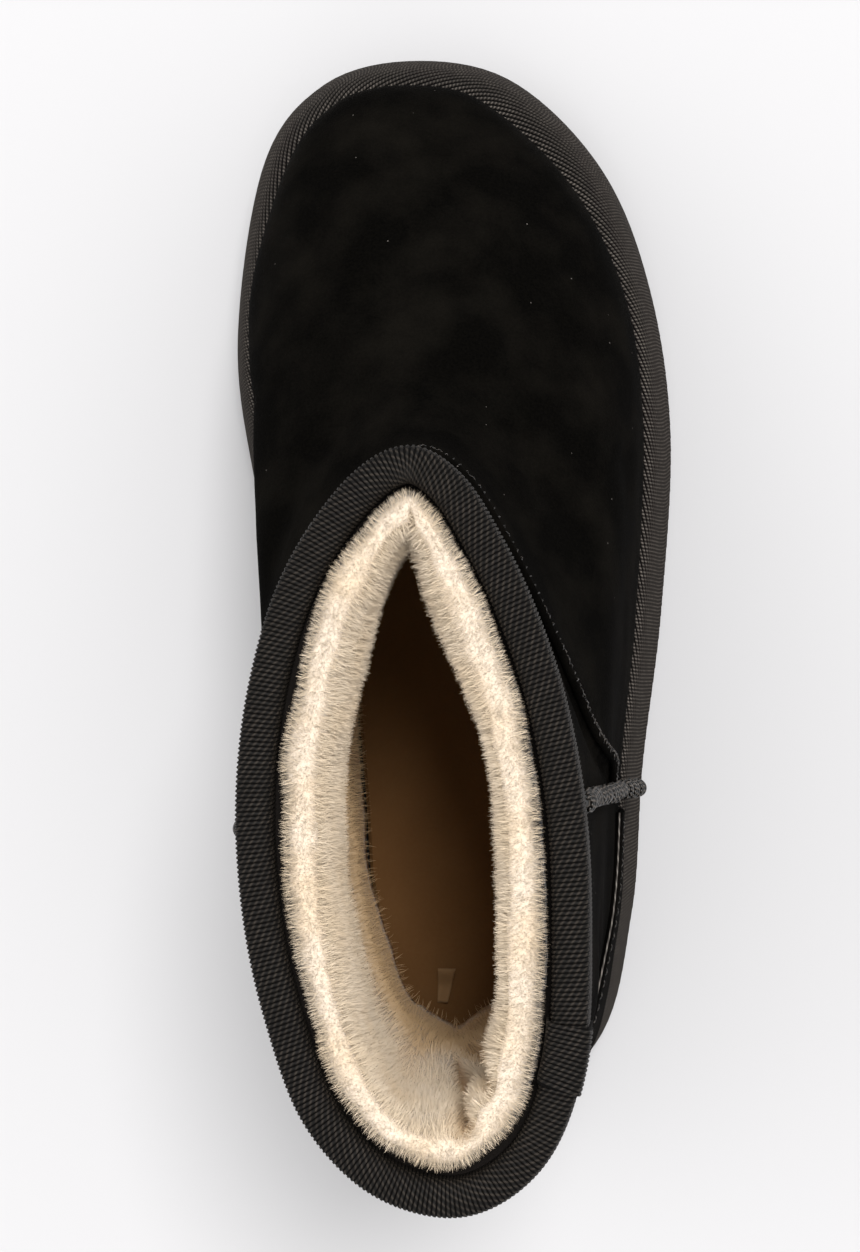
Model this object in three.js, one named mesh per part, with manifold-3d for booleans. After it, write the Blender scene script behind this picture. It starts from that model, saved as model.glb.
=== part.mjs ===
// Sheepskin ankle boot for the right foot, about EU 38, standing on its sole.
// Millimetres, +Z up, +Y towards the toe, +X to the outer side. The origin is on the floor,
// under the middle of the sole's length and width.
import * as THREE from "three";
import Module from "manifold-3d";

const wasm = await Module();
wasm.setup();

// Driving sizes
const soleLength = 268.5;
const ballWidth = 109.6;
const bootHeight = 166;
const heelHeight = 36; // floor to the top of the platform's taped edge, at the heel
const ballHeight = 31; // the same at the ball
const toeSpring = 7;
const springStart = 180; // distance from the heel tip at which the toe starts to rise
const archLift = 2.2;
const archFrom = 66; // the lifted waist, as distances from the heel tip
const archTo = 142;

const outsoleThickness = 5.5;
const outsoleBevel = 1.2;
const treadDepth = 2;
const treadRim = 9; // uncut edge of the outsole
const treadSpine = 14; // uncut strip along its middle
const treadEnds = 20; // uncut heel and toe
const grooveWidth = 3.6;
const groovePitch = 11;
const grooveSlant = 5;
const tapeThickness = 1.3;
const sideLedge = 8.6; // from the sole's widest line in to the upper, at the ball
const toeLedge = 15;
const heelLedge = 7.2;
const wallFlare = 2.6; // how much further out the wall stands at the floor than below its shoulder
const shoulderRound = 2.7; // higher is squarer

const suedeWall = 1.8;
const seatInset = 0.9; // from the tape's edge in to the foot of the upper
const toePuff = 1.6; // how far the upper swells out over its seat on the sole
const heelPuff = 3.6;
const innerWaistPuff = -0.4;
const collarLength = 140.8;
const collarWidth = 63.6;
const collarBackSet = 12.8; // from the heel tip of the sole in to the collar's back
const collarShift = 1.8; // the collar's middle stands to the outer side
const collarSlope = 2; // the collar's back is higher than its front

const bindingThickness = 0.9;
const bindingOuterLeg = 10;
const bindingInnerLeg = 5.5;
const bindingRound = 1.5;
const bindingLap = 12; // length of the doubled end of the binding
const lapFromBack = 22; // from the collar's back forward to it, on the outer side
const lapStep = 0.7;
const lapSteps = 4;
const backingThickness = 2.2; // hide side of the fur, inside the binding
const pileThickness = 12;
const toePile = 5;
const heelPile = 11;
const pileThinsFrom = 0.9; // how far back, in sole lengths, the foot's pile starts to thin towards the toe
const locksAround = 18;
const lockLength = 8;
const lockWidth = 6.5;
const lockSunk = 0.3; // how deep a lock's root is, how far it stands out and how far it hangs, in its lengths
const lockProud = 0.42;
const lockDrop = 0.75;
const insoleThickness = 4;
const insoleEdge = 0.8;

const seamWidth = 3.6;
const seamHeight = 3.4;
const outerSeamFromHeel = 87.5; // the side seams' distance from the heel tip
const innerSeamFromHeel = 82.5;
const vampSeamWidth = 2.8;
const vampSeamHeight = 1.6;
const vampSeamFoot = 74; // height over the floor where the vamp seam meets the side seams
const vampSeamCrown = 134; // its highest point, outside the instep
const counterThickness = 1.2;
const counterFront = 56; // height of the counter's edge at the side seams
const counterBack = 90;
const labelLength = 7.2;
const labelWidth = 4.8;
const labelThickness = 0.6;
const labelFromHeel = 40;

const gap = 0.3;
const around = 40; // facets round the foot
const crowding = 0.3; // how much closer the facets stand at the toe and the heel than at the sides
const levelsUp = 14; // rings up the upper
const suedeColour = 0x141312;
const tapeColour = 0x2b2826;
const threadColour = 0x3a3633;
const furColour = 0xe6d9bd;

const mix = (a, b, t) => a + (b - a) * t;
const clamp01 = (t) => Math.min(1, Math.max(0, t));
const smooth = (t) => clamp01(t) ** 2 * (3 - 2 * clamp01(t));
const fromHeel = (distance) => distance - soleLength / 2;

// Outlines seen from above, as shares of half the length and half the width. They start at the front
// tip and go round by the outer side. Both have the same number of points, so they blend.
const footOutline = [
  { at: "toe tip", x: -0.17, y: 1.0 },
  { at: "outer toe", x: 0.29, y: 0.96 },
  { at: "little toe", x: 0.69, y: 0.8 },
  { at: "outer ball front", x: 0.906, y: 0.58 },
  { at: "outer ball", x: 1.0, y: 0.305 },
  { at: "outer ball back", x: 0.954, y: -0.028 },
  { at: "outer waist", x: 0.866, y: -0.317 },
  { at: "outer heel front", x: 0.815, y: -0.591 },
  { at: "outer heel", x: 0.64, y: -0.84 },
  { at: "heel tip", x: 0.07, y: -1.0 },
  { at: "inner heel", x: -0.48, y: -0.858 },
  { at: "inner heel front", x: -0.672, y: -0.598 },
  { at: "inner waist back", x: -0.718, y: -0.317 },
  { at: "inner waist", x: -0.775, y: -0.036 },
  { at: "inner ball back", x: -0.92, y: 0.216 },
  { at: "inner ball", x: -1.0, y: 0.483 },
  { at: "big toe side", x: -0.875, y: 0.81 },
  { at: "big toe", x: -0.59, y: 0.957 },
];
const collarOutline = [
  { at: "front", x: -0.04, y: 1.0 },
  { at: "outer front", x: 0.25, y: 0.93 },
  { at: "outer front", x: 0.495, y: 0.756 },
  { at: "outer front", x: 0.694, y: 0.56 },
  { at: "outer side", x: 0.862, y: 0.324 },
  { at: "outer side", x: 0.97, y: 0.045 },
  { at: "outer side", x: 1.0, y: -0.262 },
  { at: "outer back", x: 0.963, y: -0.611 },
  { at: "outer back", x: 0.745, y: -0.87 },
  { at: "back", x: 0.32, y: -1.0 },
  { at: "inner back", x: -0.19, y: -0.955 },
  { at: "inner back", x: -0.59, y: -0.778 },
  { at: "inner back", x: -0.82, y: -0.513 },
  { at: "inner side", x: -0.957, y: -0.234 },
  { at: "inner side", x: -1.0, y: 0.073 },
  { at: "inner side", x: -0.927, y: 0.379 },
  { at: "inner front", x: -0.728, y: 0.672 },
  { at: "inner front", x: -0.376, y: 0.909 },
];

// Rings up the upper, evenly spaced in level. slide is the way of the ring's front from the toe to the
// collar's front, frontRise and backRise the way up from the seat to the collar, narrow the way from
// the foot's width to the collar's, oval from the foot's outline to the collar's, puff the swelling.
const upperRings = [
  { at: "seat", slide: 0, frontRise: 0, backRise: 0, narrow: 0, oval: 0, puff: -0.35 },
  { at: "swell", slide: 0, frontRise: 0.09, backRise: 0.1, narrow: 0, oval: 0, puff: 1 },
  { at: "toe cap", slide: 0.044, frontRise: 0.2, backRise: 0.19, narrow: 0.07, oval: 0.04, puff: 0.8 },
  { at: "toe top", slide: 0.195, frontRise: 0.289, backRise: 0.27, narrow: 0.18, oval: 0.12, puff: 0.45 },
  { at: "vamp", slide: 0.39, frontRise: 0.364, backRise: 0.352, narrow: 0.29, oval: 0.26, puff: 0.2 },
  { at: "vamp back", slide: 0.605, frontRise: 0.431, backRise: 0.437, narrow: 0.42, oval: 0.46, puff: 0.1 },
  { at: "instep", slide: 0.79, frontRise: 0.506, backRise: 0.522, narrow: 0.6, oval: 0.7, puff: 0 },
  { at: "ankle", slide: 0.917, frontRise: 0.613, backRise: 0.622, narrow: 0.8, oval: 0.9, puff: 0 },
  { at: "shaft", slide: 0.98, frontRise: 0.787, backRise: 0.79, narrow: 0.94, oval: 1, puff: 0 },
  { at: "collar", slide: 1, frontRise: 1, backRise: 1, narrow: 1, oval: 1, puff: 0 },
];

// The pile from its rim down the shaft: inward is the share of its thickness, under the depth below the
// collar's edge as a share of that thickness.
const pileRim = [
  { at: "beside the binding", inward: 0.03, under: 0 },
  { at: "crest", inward: 0.24, under: -0.12 },
  { at: "roll", inward: 0.56, under: -0.02 },
  { at: "lip", inward: 0.84, under: 0.34 },
  { at: "throat", inward: 1, under: 1 },
];

// The pile under the throat, by the upper's level: thick goes from the foot's pile to the shaft's.
const pileLevels = [
  { level: 0.86, thick: 1 },
  { level: 0.74, thick: 0.85 },
  { level: 0.62, thick: 0.6 },
  { level: 0.46, thick: 0.25 },
  { level: 0.3, thick: 0 },
  { level: 0.14, thick: 0 },
  { level: 0.01, thick: 0 },
];
const shaftFrom = 0.55; // level from which the pile is drawn in ring by ring
const shaftBlend = 0.2;
const widestTurns = { outer: 0.28, inner: 0.78 }; // where the collar is widest

// Locks of fur: where on the rim each row grows, and how long it hangs.
const lockRows = [
  { place: 0.45, long: 0.5 },
  { place: 0.8, long: 1 },
];

// A seam's section, half round: side in half widths, rise in its height.
const seamAcross = [
  { side: -1, rise: 0.25 },
  { side: -0.5, rise: 1 },
  { side: 0.5, rise: 1 },
  { side: 1, rise: 0.25 },
];
const seamBlunt = 0.35; // how blunt its ends are
const counterSteps = 18;
const counterRows = [0, 0.33, 0.67, 1];

// The vamp seam's height from the outer side seam over the instep to the inner one, evenly spaced in
// turn, as a share of the way from its foot to its crown.
const vampSeamPath = [
  { at: "outer side seam", rise: 0 },
  { at: "outer ankle", rise: 0.6 },
  { at: "outer ankle front", rise: 0.95 },
  { at: "outer instep", rise: 1 },
  { at: "instep", rise: 0.87 },
  { at: "inner instep", rise: 0.66 },
  { at: "inner ankle front", rise: 0.49 },
  { at: "inner ankle", rise: 0.35 },
  { at: "inner side seam", rise: 0 },
];
const vampSeamSteps = 16;

// Uniform Catmull-Rom value at t in 0..1 through evenly spaced numbers.
function spline(values, t, closed) {
  const n = values.length;
  const place = closed ? (t - Math.floor(t)) * n : clamp01(t) * (n - 1);
  const i = Math.min(Math.floor(place), closed ? n : n - 2);
  const f = place - i;
  const pick = (k) => {
    if (closed) return values[(k + n) % n];
    if (k < 0) return 2 * values[0] - values[1];
    if (k > n - 1) return 2 * values[n - 1] - values[n - 2];
    return values[k];
  };
  const [a, b, c, d] = [pick(i - 1), pick(i), pick(i + 1), pick(i + 2)];
  return b + 0.5 * f * (c - a + f * (2 * a - 5 * b + 4 * c - d + f * (3 * (b - c) + d - a)));
}

const column = (table, name) => table.map((row) => row[name]);

// A closed outline as a function of turn, scaled to reach exactly -1 and 1 both ways.
function outline(table) {
  const xs = column(table, "x");
  const ys = column(table, "y");
  const samples = Array.from({ length: 720 }, (_, i) => i / 720);
  const fit = (values) => {
    const all = samples.map((t) => spline(values, t, true));
    const low = Math.min(...all);
    const high = Math.max(...all);
    return (t) => (2 * (spline(values, t, true) - low)) / (high - low) - 1;
  };
  const fitX = fit(xs);
  const fitY = fit(ys);
  return (turn) => ({ x: fitX(turn), y: fitY(turn) });
}
const footShape = outline(footOutline);
const collarShape = outline(collarOutline);

// The sole

function spring(y) {
  const start = fromHeel(springStart);
  return toeSpring * clamp01((y - start) / (soleLength / 2 - start)) ** 2;
}
function floorLine(y) {
  const middle = fromHeel((archFrom + archTo) / 2);
  const half = (archTo - archFrom) / 2;
  const arch = archLift * smooth(2 * (1 - Math.abs(y - middle) / half));
  return spring(y) + (Math.abs(y - middle) < half ? arch : 0);
}
function edgeTop(y) {
  const drop = smooth((y - fromHeel(archFrom)) / (springStart - archFrom));
  return mix(heelHeight, ballHeight, drop) + spring(y);
}
const seatTop = (y) => edgeTop(y) - tapeThickness - gap;

// A point of the sole's outline, moved in by inset.
function solePoint(turn, inset) {
  const at = (t) => {
    const p = footShape(t);
    return new THREE.Vector2((p.x * ballWidth) / 2, (p.y * soleLength) / 2);
  };
  const step = 1e-4;
  const along = at(turn + step).sub(at(turn - step)).normalize();
  const inward = new THREE.Vector2(along.y, -along.x);
  return at(turn).addScaledVector(inward, inset);
}

function ledge(turn) {
  const y = footShape(turn).y;
  const toToe = smooth((y - 0.45) / 0.5);
  const toHeel = smooth((0.3 - y) / 0.9);
  return mix(mix(sideLedge, toeLedge, toToe), heelLedge, toHeel);
}

// The taped side of the platform: share 0 is the outsole's top, 1 the edge at the upper; depth is
// how far the point lies under the tape's face.
function wallPoint(turn, share, depth) {
  const edge = solePoint(turn, ledge(turn));
  const top = edgeTop(edge.y);
  const low = floorLine(solePoint(turn, 0).y) + outsoleThickness + gap;
  const inset = (s) => {
    const round = 1 - (1 - clamp01(s) ** shoulderRound) ** (1 / shoulderRound);
    return wallFlare * s + (ledge(turn) - wallFlare) * round;
  };
  const step = 1e-3;
  const before = Math.max(0, share - step);
  const after = Math.min(1, share + step);
  const out = inset(after) - inset(before);
  const up = (top - low) * (after - before);
  const length = Math.hypot(out, up);
  const p = solePoint(turn, inset(share) + (up / length) * depth);
  return new THREE.Vector3(p.x, p.y, mix(low, top, share) - (out / length) * depth);
}

// The upper

const collarBack = -soleLength / 2 + collarBackSet;
const collarFront = collarBack + collarLength;
const suedeTop = bootHeight - bindingThickness - gap;

// A point of the upper's outer face: level 0 at the seat, 1 at the collar.
function suedePoint(level, turn) {
  const at = (name) => spline(column(upperRings, name), level, false);
  const foot = footShape(turn);
  const collar = collarShape(turn);
  const innerWaist = smooth(-1.3 * foot.x) * smooth(1.6 - 3 * Math.abs(foot.y - 0.05));
  const puff = mix(mix(heelPuff, toePuff, smooth((foot.y + 1) / 2)), innerWaistPuff, innerWaist) * at("puff");
  const seat = solePoint(turn, ledge(turn) + seatInset);
  const toe = soleLength / 2 - toeLedge;
  const heel = -soleLength / 2 + heelLedge;
  const footBack = mix(heel, collarBack, at("narrow"));
  const front = mix(toe, collarFront, at("slide"));
  // The seat's own outline, stretched between the ring's front and back.
  const share = (seat.y - heel) / (toe - heel);
  const half = mix(ballWidth / 2 - sideLedge, collarWidth / 2, at("narrow"));
  const seatHalf = ballWidth / 2 - sideLedge;
  const footX = (seat.x * half) / seatHalf + foot.x * puff;
  const footY = mix(footBack, front, share) + foot.y * puff;
  const ovalX = collar.x * half + collarShift + collar.x * puff;
  const ovalY = mix(footBack, front, (collar.y + 1) / 2) + collar.y * puff;
  const x = mix(footX, ovalX, at("oval"));
  const y = mix(footY, ovalY, at("oval"));
  const forward = clamp01((y - footBack) / (front - footBack));
  const rise = mix(at("backRise"), at("frontRise"), forward);
  const base = seatTop(seat.y) + gap;
  const top = suedeTop - collarSlope * forward;
  return new THREE.Vector3(x, y, mix(base, top, rise));
}

function suedeNormal(level, turn) {
  const step = 2e-3;
  const up = suedePoint(Math.min(1, level + step), turn).sub(suedePoint(Math.max(0, level - step), turn));
  const along = suedePoint(level, turn + step).sub(suedePoint(level, turn - step));
  return new THREE.Vector3().crossVectors(up, along).normalize();
}

// A point at a height over the upper's outer face, negative under it.
const onSuede = (level, turn, height) =>
  suedePoint(level, turn).addScaledVector(suedeNormal(level, turn), height);

// The value between from and to at which a rising or falling measure reaches its target.
function solve(measure, target, from, to) {
  const rising = measure(to) > measure(from);
  let [low, high] = [from, to];
  for (let i = 0; i < 30; i++) {
    const middle = (low + high) / 2;
    if (measure(middle) < target === rising) low = middle;
    else high = middle;
  }
  return (low + high) / 2;
}

const levelAt = (turn, height) => solve((level) => suedePoint(level, turn).z, height, 0, 1);

// A point by the collar: in or out from the suede's outer face, and down from or up over its edge.
function collarPoint(turn, height, up) {
  if (up > 0) return onSuede(1, turn, height).add(new THREE.Vector3(0, 0, up));
  return onSuede(levelAt(turn, suedePoint(1, turn).z + up), turn, height);
}

// Solids from points

const turns = Array.from({ length: around }, (_, i) => {
  const even = i / around;
  return even - (crowding * Math.sin(4 * Math.PI * even)) / (4 * Math.PI);
});
const levels = Array.from({ length: levelsUp }, (_, i) => i / (levelsUp - 1));
const ringAt = (point) => turns.map((turn) => point(turn));

// A closed solid, its faces turned outwards.
function solid(points, faces) {
  const volume = faces.reduce((sum, [a, b, c]) => {
    return sum + points[a].dot(new THREE.Vector3().crossVectors(points[b], points[c]));
  }, 0);
  const outward = volume < 0 ? faces.map(([a, b, c]) => [a, c, b]) : faces;
  return new wasm.Manifold(
    new wasm.Mesh({
      numProp: 3,
      vertProperties: new Float32Array(points.flatMap((p) => [p.x, p.y, p.z])),
      triVerts: new Uint32Array(outward.flat()),
    }),
  );
}

// Rings that close on themselves, stacked. A wall's stack closes too, its last ring on its first.
// Any other has its two end rings filled across.
function ringSolid(rings, isWall) {
  const n = rings[0].length;
  const faces = [];
  for (let r = 0; r < rings.length - (isWall ? 0 : 1); r++) {
    const below = r * n;
    const above = ((r + 1) % rings.length) * n;
    for (let i = 0; i < n; i++) {
      const j = (i + 1) % n;
      faces.push([below + i, above + i, above + j], [below + i, above + j, below + j]);
    }
  }
  if (!isWall) {
    const top = (rings.length - 1) * n;
    for (let i = 0; i < n / 2; i++) {
      const [a, b, c, d] = [i, i + 1, (n - i) % n, n - i - 1];
      if (a !== c) faces.push([a, b, c], [top + a, top + c, top + b]);
      if (b !== d) faces.push([b, d, c], [top + b, top + c, top + d]);
    }
  }
  return solid(rings.flat(), faces);
}

// A patch between an outer and an inner grid of points, closed round its rim.
function patchSolid(outer, inner) {
  const across = outer[0].length;
  const count = outer.length * across;
  const at = (s, r) => s * across + r;
  const faces = [];
  for (let s = 0; s + 1 < outer.length; s++) {
    for (let r = 0; r + 1 < across; r++) {
      const [a, b, c, d] = [at(s, r), at(s + 1, r), at(s + 1, r + 1), at(s, r + 1)];
      faces.push([a, b, c], [a, c, d], [count + a, count + c, count + b], [count + a, count + d, count + c]);
    }
  }
  const last = outer.length - 1;
  const rim = [
    ...outer.map((_, s) => at(s, 0)),
    ...outer[0].map((_, r) => at(last, r)).slice(1),
    ...outer.map((_, s) => at(last - s, across - 1)).slice(1),
    ...outer[0].map((_, r) => at(0, across - 1 - r)).slice(1, -1),
  ];
  rim.forEach((a, i) => {
    const b = rim[(i + 1) % rim.length];
    faces.push([a, count + a, count + b], [a, count + b, b]);
  });
  return solid([...outer.flat(), ...inner.flat()], faces);
}

// The sole's pieces

const wallShares = [0, 0.4, 0.75, 0.93, 1];
const wallRings = (depth) => wallShares.map((share) => ringAt((turn) => wallPoint(turn, share, depth)));

// Half the sole's width at y, towards the outer (1) or the inner (-1) side.
function soleReach(y, side) {
  const turn = solve((t) => solePoint(t, 0).y, y, 0, side / 2);
  return Math.abs(solePoint(turn, 0).x);
}

function treadGroove(y, side) {
  const reach = soleReach(y, side) - treadRim;
  const corner = (x, along, up) => {
    const place = y + along + grooveSlant * (x / reach);
    return new THREE.Vector3(side * x, place, floorLine(place) + up);
  };
  const face = (up) =>
    [treadSpine / 2, reach].map((x) => [-grooveWidth / 2, grooveWidth / 2].map((along) => corner(x, along, up)));
  return patchSolid(face(treadDepth), face(-treadDepth));
}

function makeOutsole() {
  const ring = (inset, height) =>
    ringAt((turn) => {
      const p = solePoint(turn, gap + inset);
      return new THREE.Vector3(p.x, p.y, floorLine(p.y) + height);
    });
  let made = ringSolid([ring(outsoleBevel, 0), ring(0, outsoleBevel), ring(0, outsoleThickness)], false);
  const rows = Math.floor((soleLength - 2 * treadEnds) / groovePitch);
  for (let i = 0; i <= rows; i++) {
    const y = -soleLength / 2 + treadEnds + i * groovePitch;
    made = made.subtract(treadGroove(y, 1)).subtract(treadGroove(y, -1));
  }
  return made;
}

const makePlatform = () => ringSolid(wallRings(tapeThickness + gap), false);
const makeTape = () => ringSolid([...wallRings(0), ...wallRings(tapeThickness).reverse()], true);

// The suede pieces

const suedeRings = (height) => levels.map((level) => ringAt((turn) => onSuede(level, turn, height)));
const makeUpper = () => ringSolid([...suedeRings(0), ...suedeRings(-suedeWall).reverse()], true);

// The upper's form filled and grown by the gap: what lies on the suede is cut clear of it.
const suedeForm = ringSolid(suedeRings(gap), false);

// A seam along stations of level and turn, half round, its ends rounded off.
function seamAlong(stations, width, low, high) {
  const half = width / 2;
  const places = stations.map(({ level, turn }) => suedePoint(level, turn));
  const distances = [0];
  for (let i = 1; i < places.length; i++) distances.push(distances[i - 1] + places[i].distanceTo(places[i - 1]));
  const length = distances[places.length - 1];
  const grid = (face) =>
    places.map((place, i) => {
      const before = places[Math.max(0, i - 1)];
      const after = places[Math.min(places.length - 1, i + 1)];
      const along = after.clone().sub(before).normalize();
      const normal = suedeNormal(stations[i].level, stations[i].turn);
      const across = new THREE.Vector3().crossVectors(normal, along);
      const fromEnd = Math.min(distances[i], length - distances[i]);
      const taper = Math.sqrt(1 - (1 - Math.min(1, (fromEnd + half * seamBlunt) / half)) ** 2);
      return seamAcross.map(({ side, rise }) =>
        place
          .clone()
          .addScaledVector(across, side * half * taper)
          .addScaledVector(normal, face === "outer" ? mix(low, high, rise * taper) : low - half),
      );
    });
  return patchSolid(grid("outer"), grid("inner"));
}

// Stations of a side seam, from the binding down to the tape: side 1 is the outer one, -1 the inner.
function sideSeamStations(side) {
  const y = fromHeel(side > 0 ? outerSeamFromHeel : innerSeamFromHeel);
  const turnAt = (level) => solve((turn) => suedePoint(level, turn).y, y, side * 0.1, side * 0.5);
  const heights = (level) => suedePoint(level, turnAt(level)).z;
  const from = suedeTop - collarSlope / 2 - bindingOuterLeg - gap;
  const to = edgeTop(y) + 2 * gap;
  const steps = [0, 0.4 * seamWidth, ...levels.slice(1, -1).map((level) => level * (from - to))];
  const drops = [...new Set([...steps.map((d) => Math.min(d, from - to)), from - to - 0.4 * seamWidth, from - to])];
  return drops
    .sort((a, b) => a - b)
    .map((drop) => {
      const level = solve(heights, from - drop, 0, 1);
      return { level, turn: turnAt(level) };
    });
}
const makeSideSeam = (side) =>
  seamAlong(sideSeamStations(side), seamWidth, 0, seamHeight + gap).subtract(suedeForm);
// The room round a side seam, which the pieces that meet it keep clear.
const sideSeamRoom = [1, -1].map((side) =>
  seamAlong(sideSeamStations(side), seamWidth + 2 * gap, 0, 3 * seamHeight),
);

// The part of a piece that is left beside the side seams: a cut can leave a sliver behind one.
function besideSeams(made) {
  const bodies = sideSeamRoom.reduce((rest, room) => rest.subtract(room), made).decompose();
  return bodies.reduce((a, b) => (a.volume() > b.volume() ? a : b));
}

// The turn at which a side seam passes a height.
function sideSeamTurn(side, height) {
  const off = ({ level, turn }) => Math.abs(suedePoint(level, turn).z - height);
  return sideSeamStations(side).reduce((a, b) => (off(a) < off(b) ? a : b)).turn;
}

function makeVampSeam() {
  const from = sideSeamTurn(1, vampSeamFoot);
  const to = sideSeamTurn(-1, vampSeamFoot);
  const stations = Array.from({ length: vampSeamSteps + 1 }, (_, i) => {
    const share = i / vampSeamSteps;
    const turn = mix(from, to, share);
    const rise = spline(column(vampSeamPath, "rise"), share, false);
    return { level: levelAt(turn, mix(vampSeamFoot, vampSeamCrown, rise)), turn };
  });
  return besideSeams(seamAlong(stations, vampSeamWidth, 0, vampSeamHeight + gap).subtract(suedeForm));
}

function makeCounter() {
  const from = sideSeamTurn(1, counterFront);
  const to = 1 + sideSeamTurn(-1, counterFront);
  const grid = (height) =>
    Array.from({ length: counterSteps + 1 }, (_, i) => {
      const turn = mix(from, to, i / counterSteps);
      const share = 1 - Math.abs((2 * i) / counterSteps - 1);
      const top = mix(counterFront, counterBack, smooth(share));
      const foot = edgeTop(suedePoint(0, turn).y) + gap + counterThickness;
      return counterRows.map((row) => onSuede(levelAt(turn, mix(foot, top, row)), turn, height));
    });
  return besideSeams(patchSolid(grid(gap + counterThickness), grid(-suedeWall)).subtract(suedeForm));
}

// The binding and the fur

const hideFace = suedeWall + gap; // the hide's outer face, in from the suede's
const bindingInside = hideFace + backingThickness + gap + bindingThickness; // the binding's inner face
const bindingOutside = gap + bindingThickness;
const bindingTop = gap + bindingThickness; // over the suede's edge

const bindingProfile = (extra) => [
  { out: bindingOutside + extra, up: -bindingOuterLeg },
  { out: bindingOutside + extra, up: -bindingRound },
  { out: bindingOutside + extra - 0.4 * bindingRound, up: bindingTop + extra - 0.3 * bindingRound },
  { out: (bindingOutside - bindingInside) / 2, up: bindingTop + extra },
  { out: 0.4 * bindingRound - bindingInside - extra, up: bindingTop + extra - 0.3 * bindingRound },
  { out: -bindingInside - extra, up: -bindingRound },
  { out: -bindingInside - extra, up: -bindingInnerLeg },
];

function makeBinding() {
  const inside = [
    { out: bindingThickness - bindingInside, up: -bindingInnerLeg },
    { out: bindingThickness - bindingInside, up: gap },
    { out: gap, up: gap },
    { out: gap, up: -bindingOuterLeg },
  ];
  const ring = ({ out, up }) => ringAt((turn) => collarPoint(turn, out, up));
  const band = ringSolid([...bindingProfile(0), ...inside].map(ring), true);
  const back = (distance) => (turn) => suedePoint(1, turn).y - (collarBack + distance);
  const from = solve(back(lapFromBack + bindingLap), 0, 0.1, 0.5);
  const to = solve(back(lapFromBack), 0, 0.1, 0.5);
  const grid = (extra) =>
    Array.from({ length: lapSteps + 1 }, (_, i) =>
      bindingProfile(extra)
        .slice(0, 5)
        .map(({ out, up }) => collarPoint(mix(from, to, i / lapSteps), out, up)),
    );
  return band.add(patchSolid(grid(lapStep), grid(-bindingThickness / 2)));
}

const pileFace = hideFace + backingThickness; // where the pile starts, in from the suede's outer face
const pileStart = bindingInside + gap; // and where it starts beside the binding
const footPile = (y) => mix(heelPile, toePile, smooth(y / soleLength + pileThinsFrom));

// The pile's inner face, t deep in from the suede's outer face: in the shaft each ring is drawn in
// towards its middle, and in the foot it follows the suede.
function pilePoint(level, turn, t) {
  const start = (at) => onSuede(level, at, -pileStart);
  const [p, front, back, outer, inner] = [turn, 0, 0.5, widestTurns.outer, widestTurns.inner].map(start);
  const more = 2 * (t - pileStart);
  const drawn = new THREE.Vector3(
    p.x - (more * (p.x - (outer.x + inner.x) / 2)) / (outer.x - inner.x),
    p.y - (more * (p.y - (front.y + back.y) / 2)) / (front.y - back.y),
    p.z,
  );
  return onSuede(level, turn, -t).lerp(drawn, smooth((level - shaftFrom) / shaftBlend));
}

// A point of the pile's rim, by its row in the table and the turn.
function rimPoint(place, turn) {
  const at = (name) => spline(column(pileRim, name), place, false);
  const t = pileStart + at("inward") * (pileFace + pileThickness - pileStart);
  const up = bindingTop - at("under") * pileThickness;
  const p = pilePoint(1, turn, t);
  if (up >= 0) return p.add(new THREE.Vector3(0, 0, up));
  return pilePoint(levelAt(turn, suedePoint(1, turn).z + up), turn, t);
}

function lock(place, turn, bend, long) {
  const step = 0.02;
  const root = rimPoint(place, turn);
  const down = rimPoint(Math.min(1, place + step), turn).sub(rimPoint(place, turn)).normalize();
  const side = rimPoint(place, turn + step).sub(root).normalize();
  const normal = new THREE.Vector3().crossVectors(side, down).normalize();
  if (normal.dot(pilePoint(0.9, turn, pileFace).sub(root)) > 0) normal.negate();
  const ring = (along, wide) =>
    [0, 1, 2, 3].map((i) => {
      const angle = (i * Math.PI) / 2;
      return root
        .clone()
        .addScaledVector(normal, lockLength * (lockProud * along - lockSunk))
        .addScaledVector(down, lockLength * long * along * along * lockDrop)
        .addScaledVector(side, lockLength * bend * along * along)
        .addScaledVector(side, (lockWidth / 2) * wide * Math.cos(angle))
        .addScaledVector(down, (lockWidth / 2) * wide * Math.sin(angle));
    });
  return ringSolid([ring(0, 1), ring(0.5, 0.9), ring(1, 0.35)], false);
}

// The pile under its rim: thick goes from the foot's pile to the shaft's.
function pileInside(level, turn, thick) {
  const foot = footPile(suedePoint(level, turn).y);
  return pilePoint(level, turn, pileFace + mix(foot, pileThickness, thick));
}

function makeFur() {
  const foot = pileLevels[pileLevels.length - 1].level;
  const outer = [foot, ...levels.slice(1)].map((level) => ringAt((turn) => onSuede(level, turn, -hideFace)));
  const under = -bindingInnerLeg - gap;
  const tongue = [
    ringAt((turn) => collarPoint(turn, -pileFace, 0)),
    ringAt((turn) => collarPoint(turn, -pileFace, under)),
    ringAt((turn) => collarPoint(turn, -pileStart, under)),
  ];
  const places = Array.from({ length: pileRim.length }, (_, i) => i / (pileRim.length - 1));
  const rim = places.map((place) => ringAt((turn) => rimPoint(place, turn)));
  const inner = pileLevels.map(({ level, thick }) => ringAt((turn) => pileInside(level, turn, thick)));
  // Stacked from the inside out, so that its outer facets fold the same way as the suede's inner ones.
  let made = ringSolid([...outer, ...tongue, ...rim, ...inner].reverse(), true);
  lockRows.forEach((row, r) => {
    for (let i = 0; i < locksAround; i++) {
      const swing = Math.sin(2.4 * i + 5 * r);
      const turn = (i + 0.5 * (r % 2) + 0.18 * swing) / locksAround;
      made = made.add(lock(row.place, turn, 0.35 * swing, row.long * (1 + 0.2 * Math.cos(3.1 * i + r))));
    }
  });
  return made;
}

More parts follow.
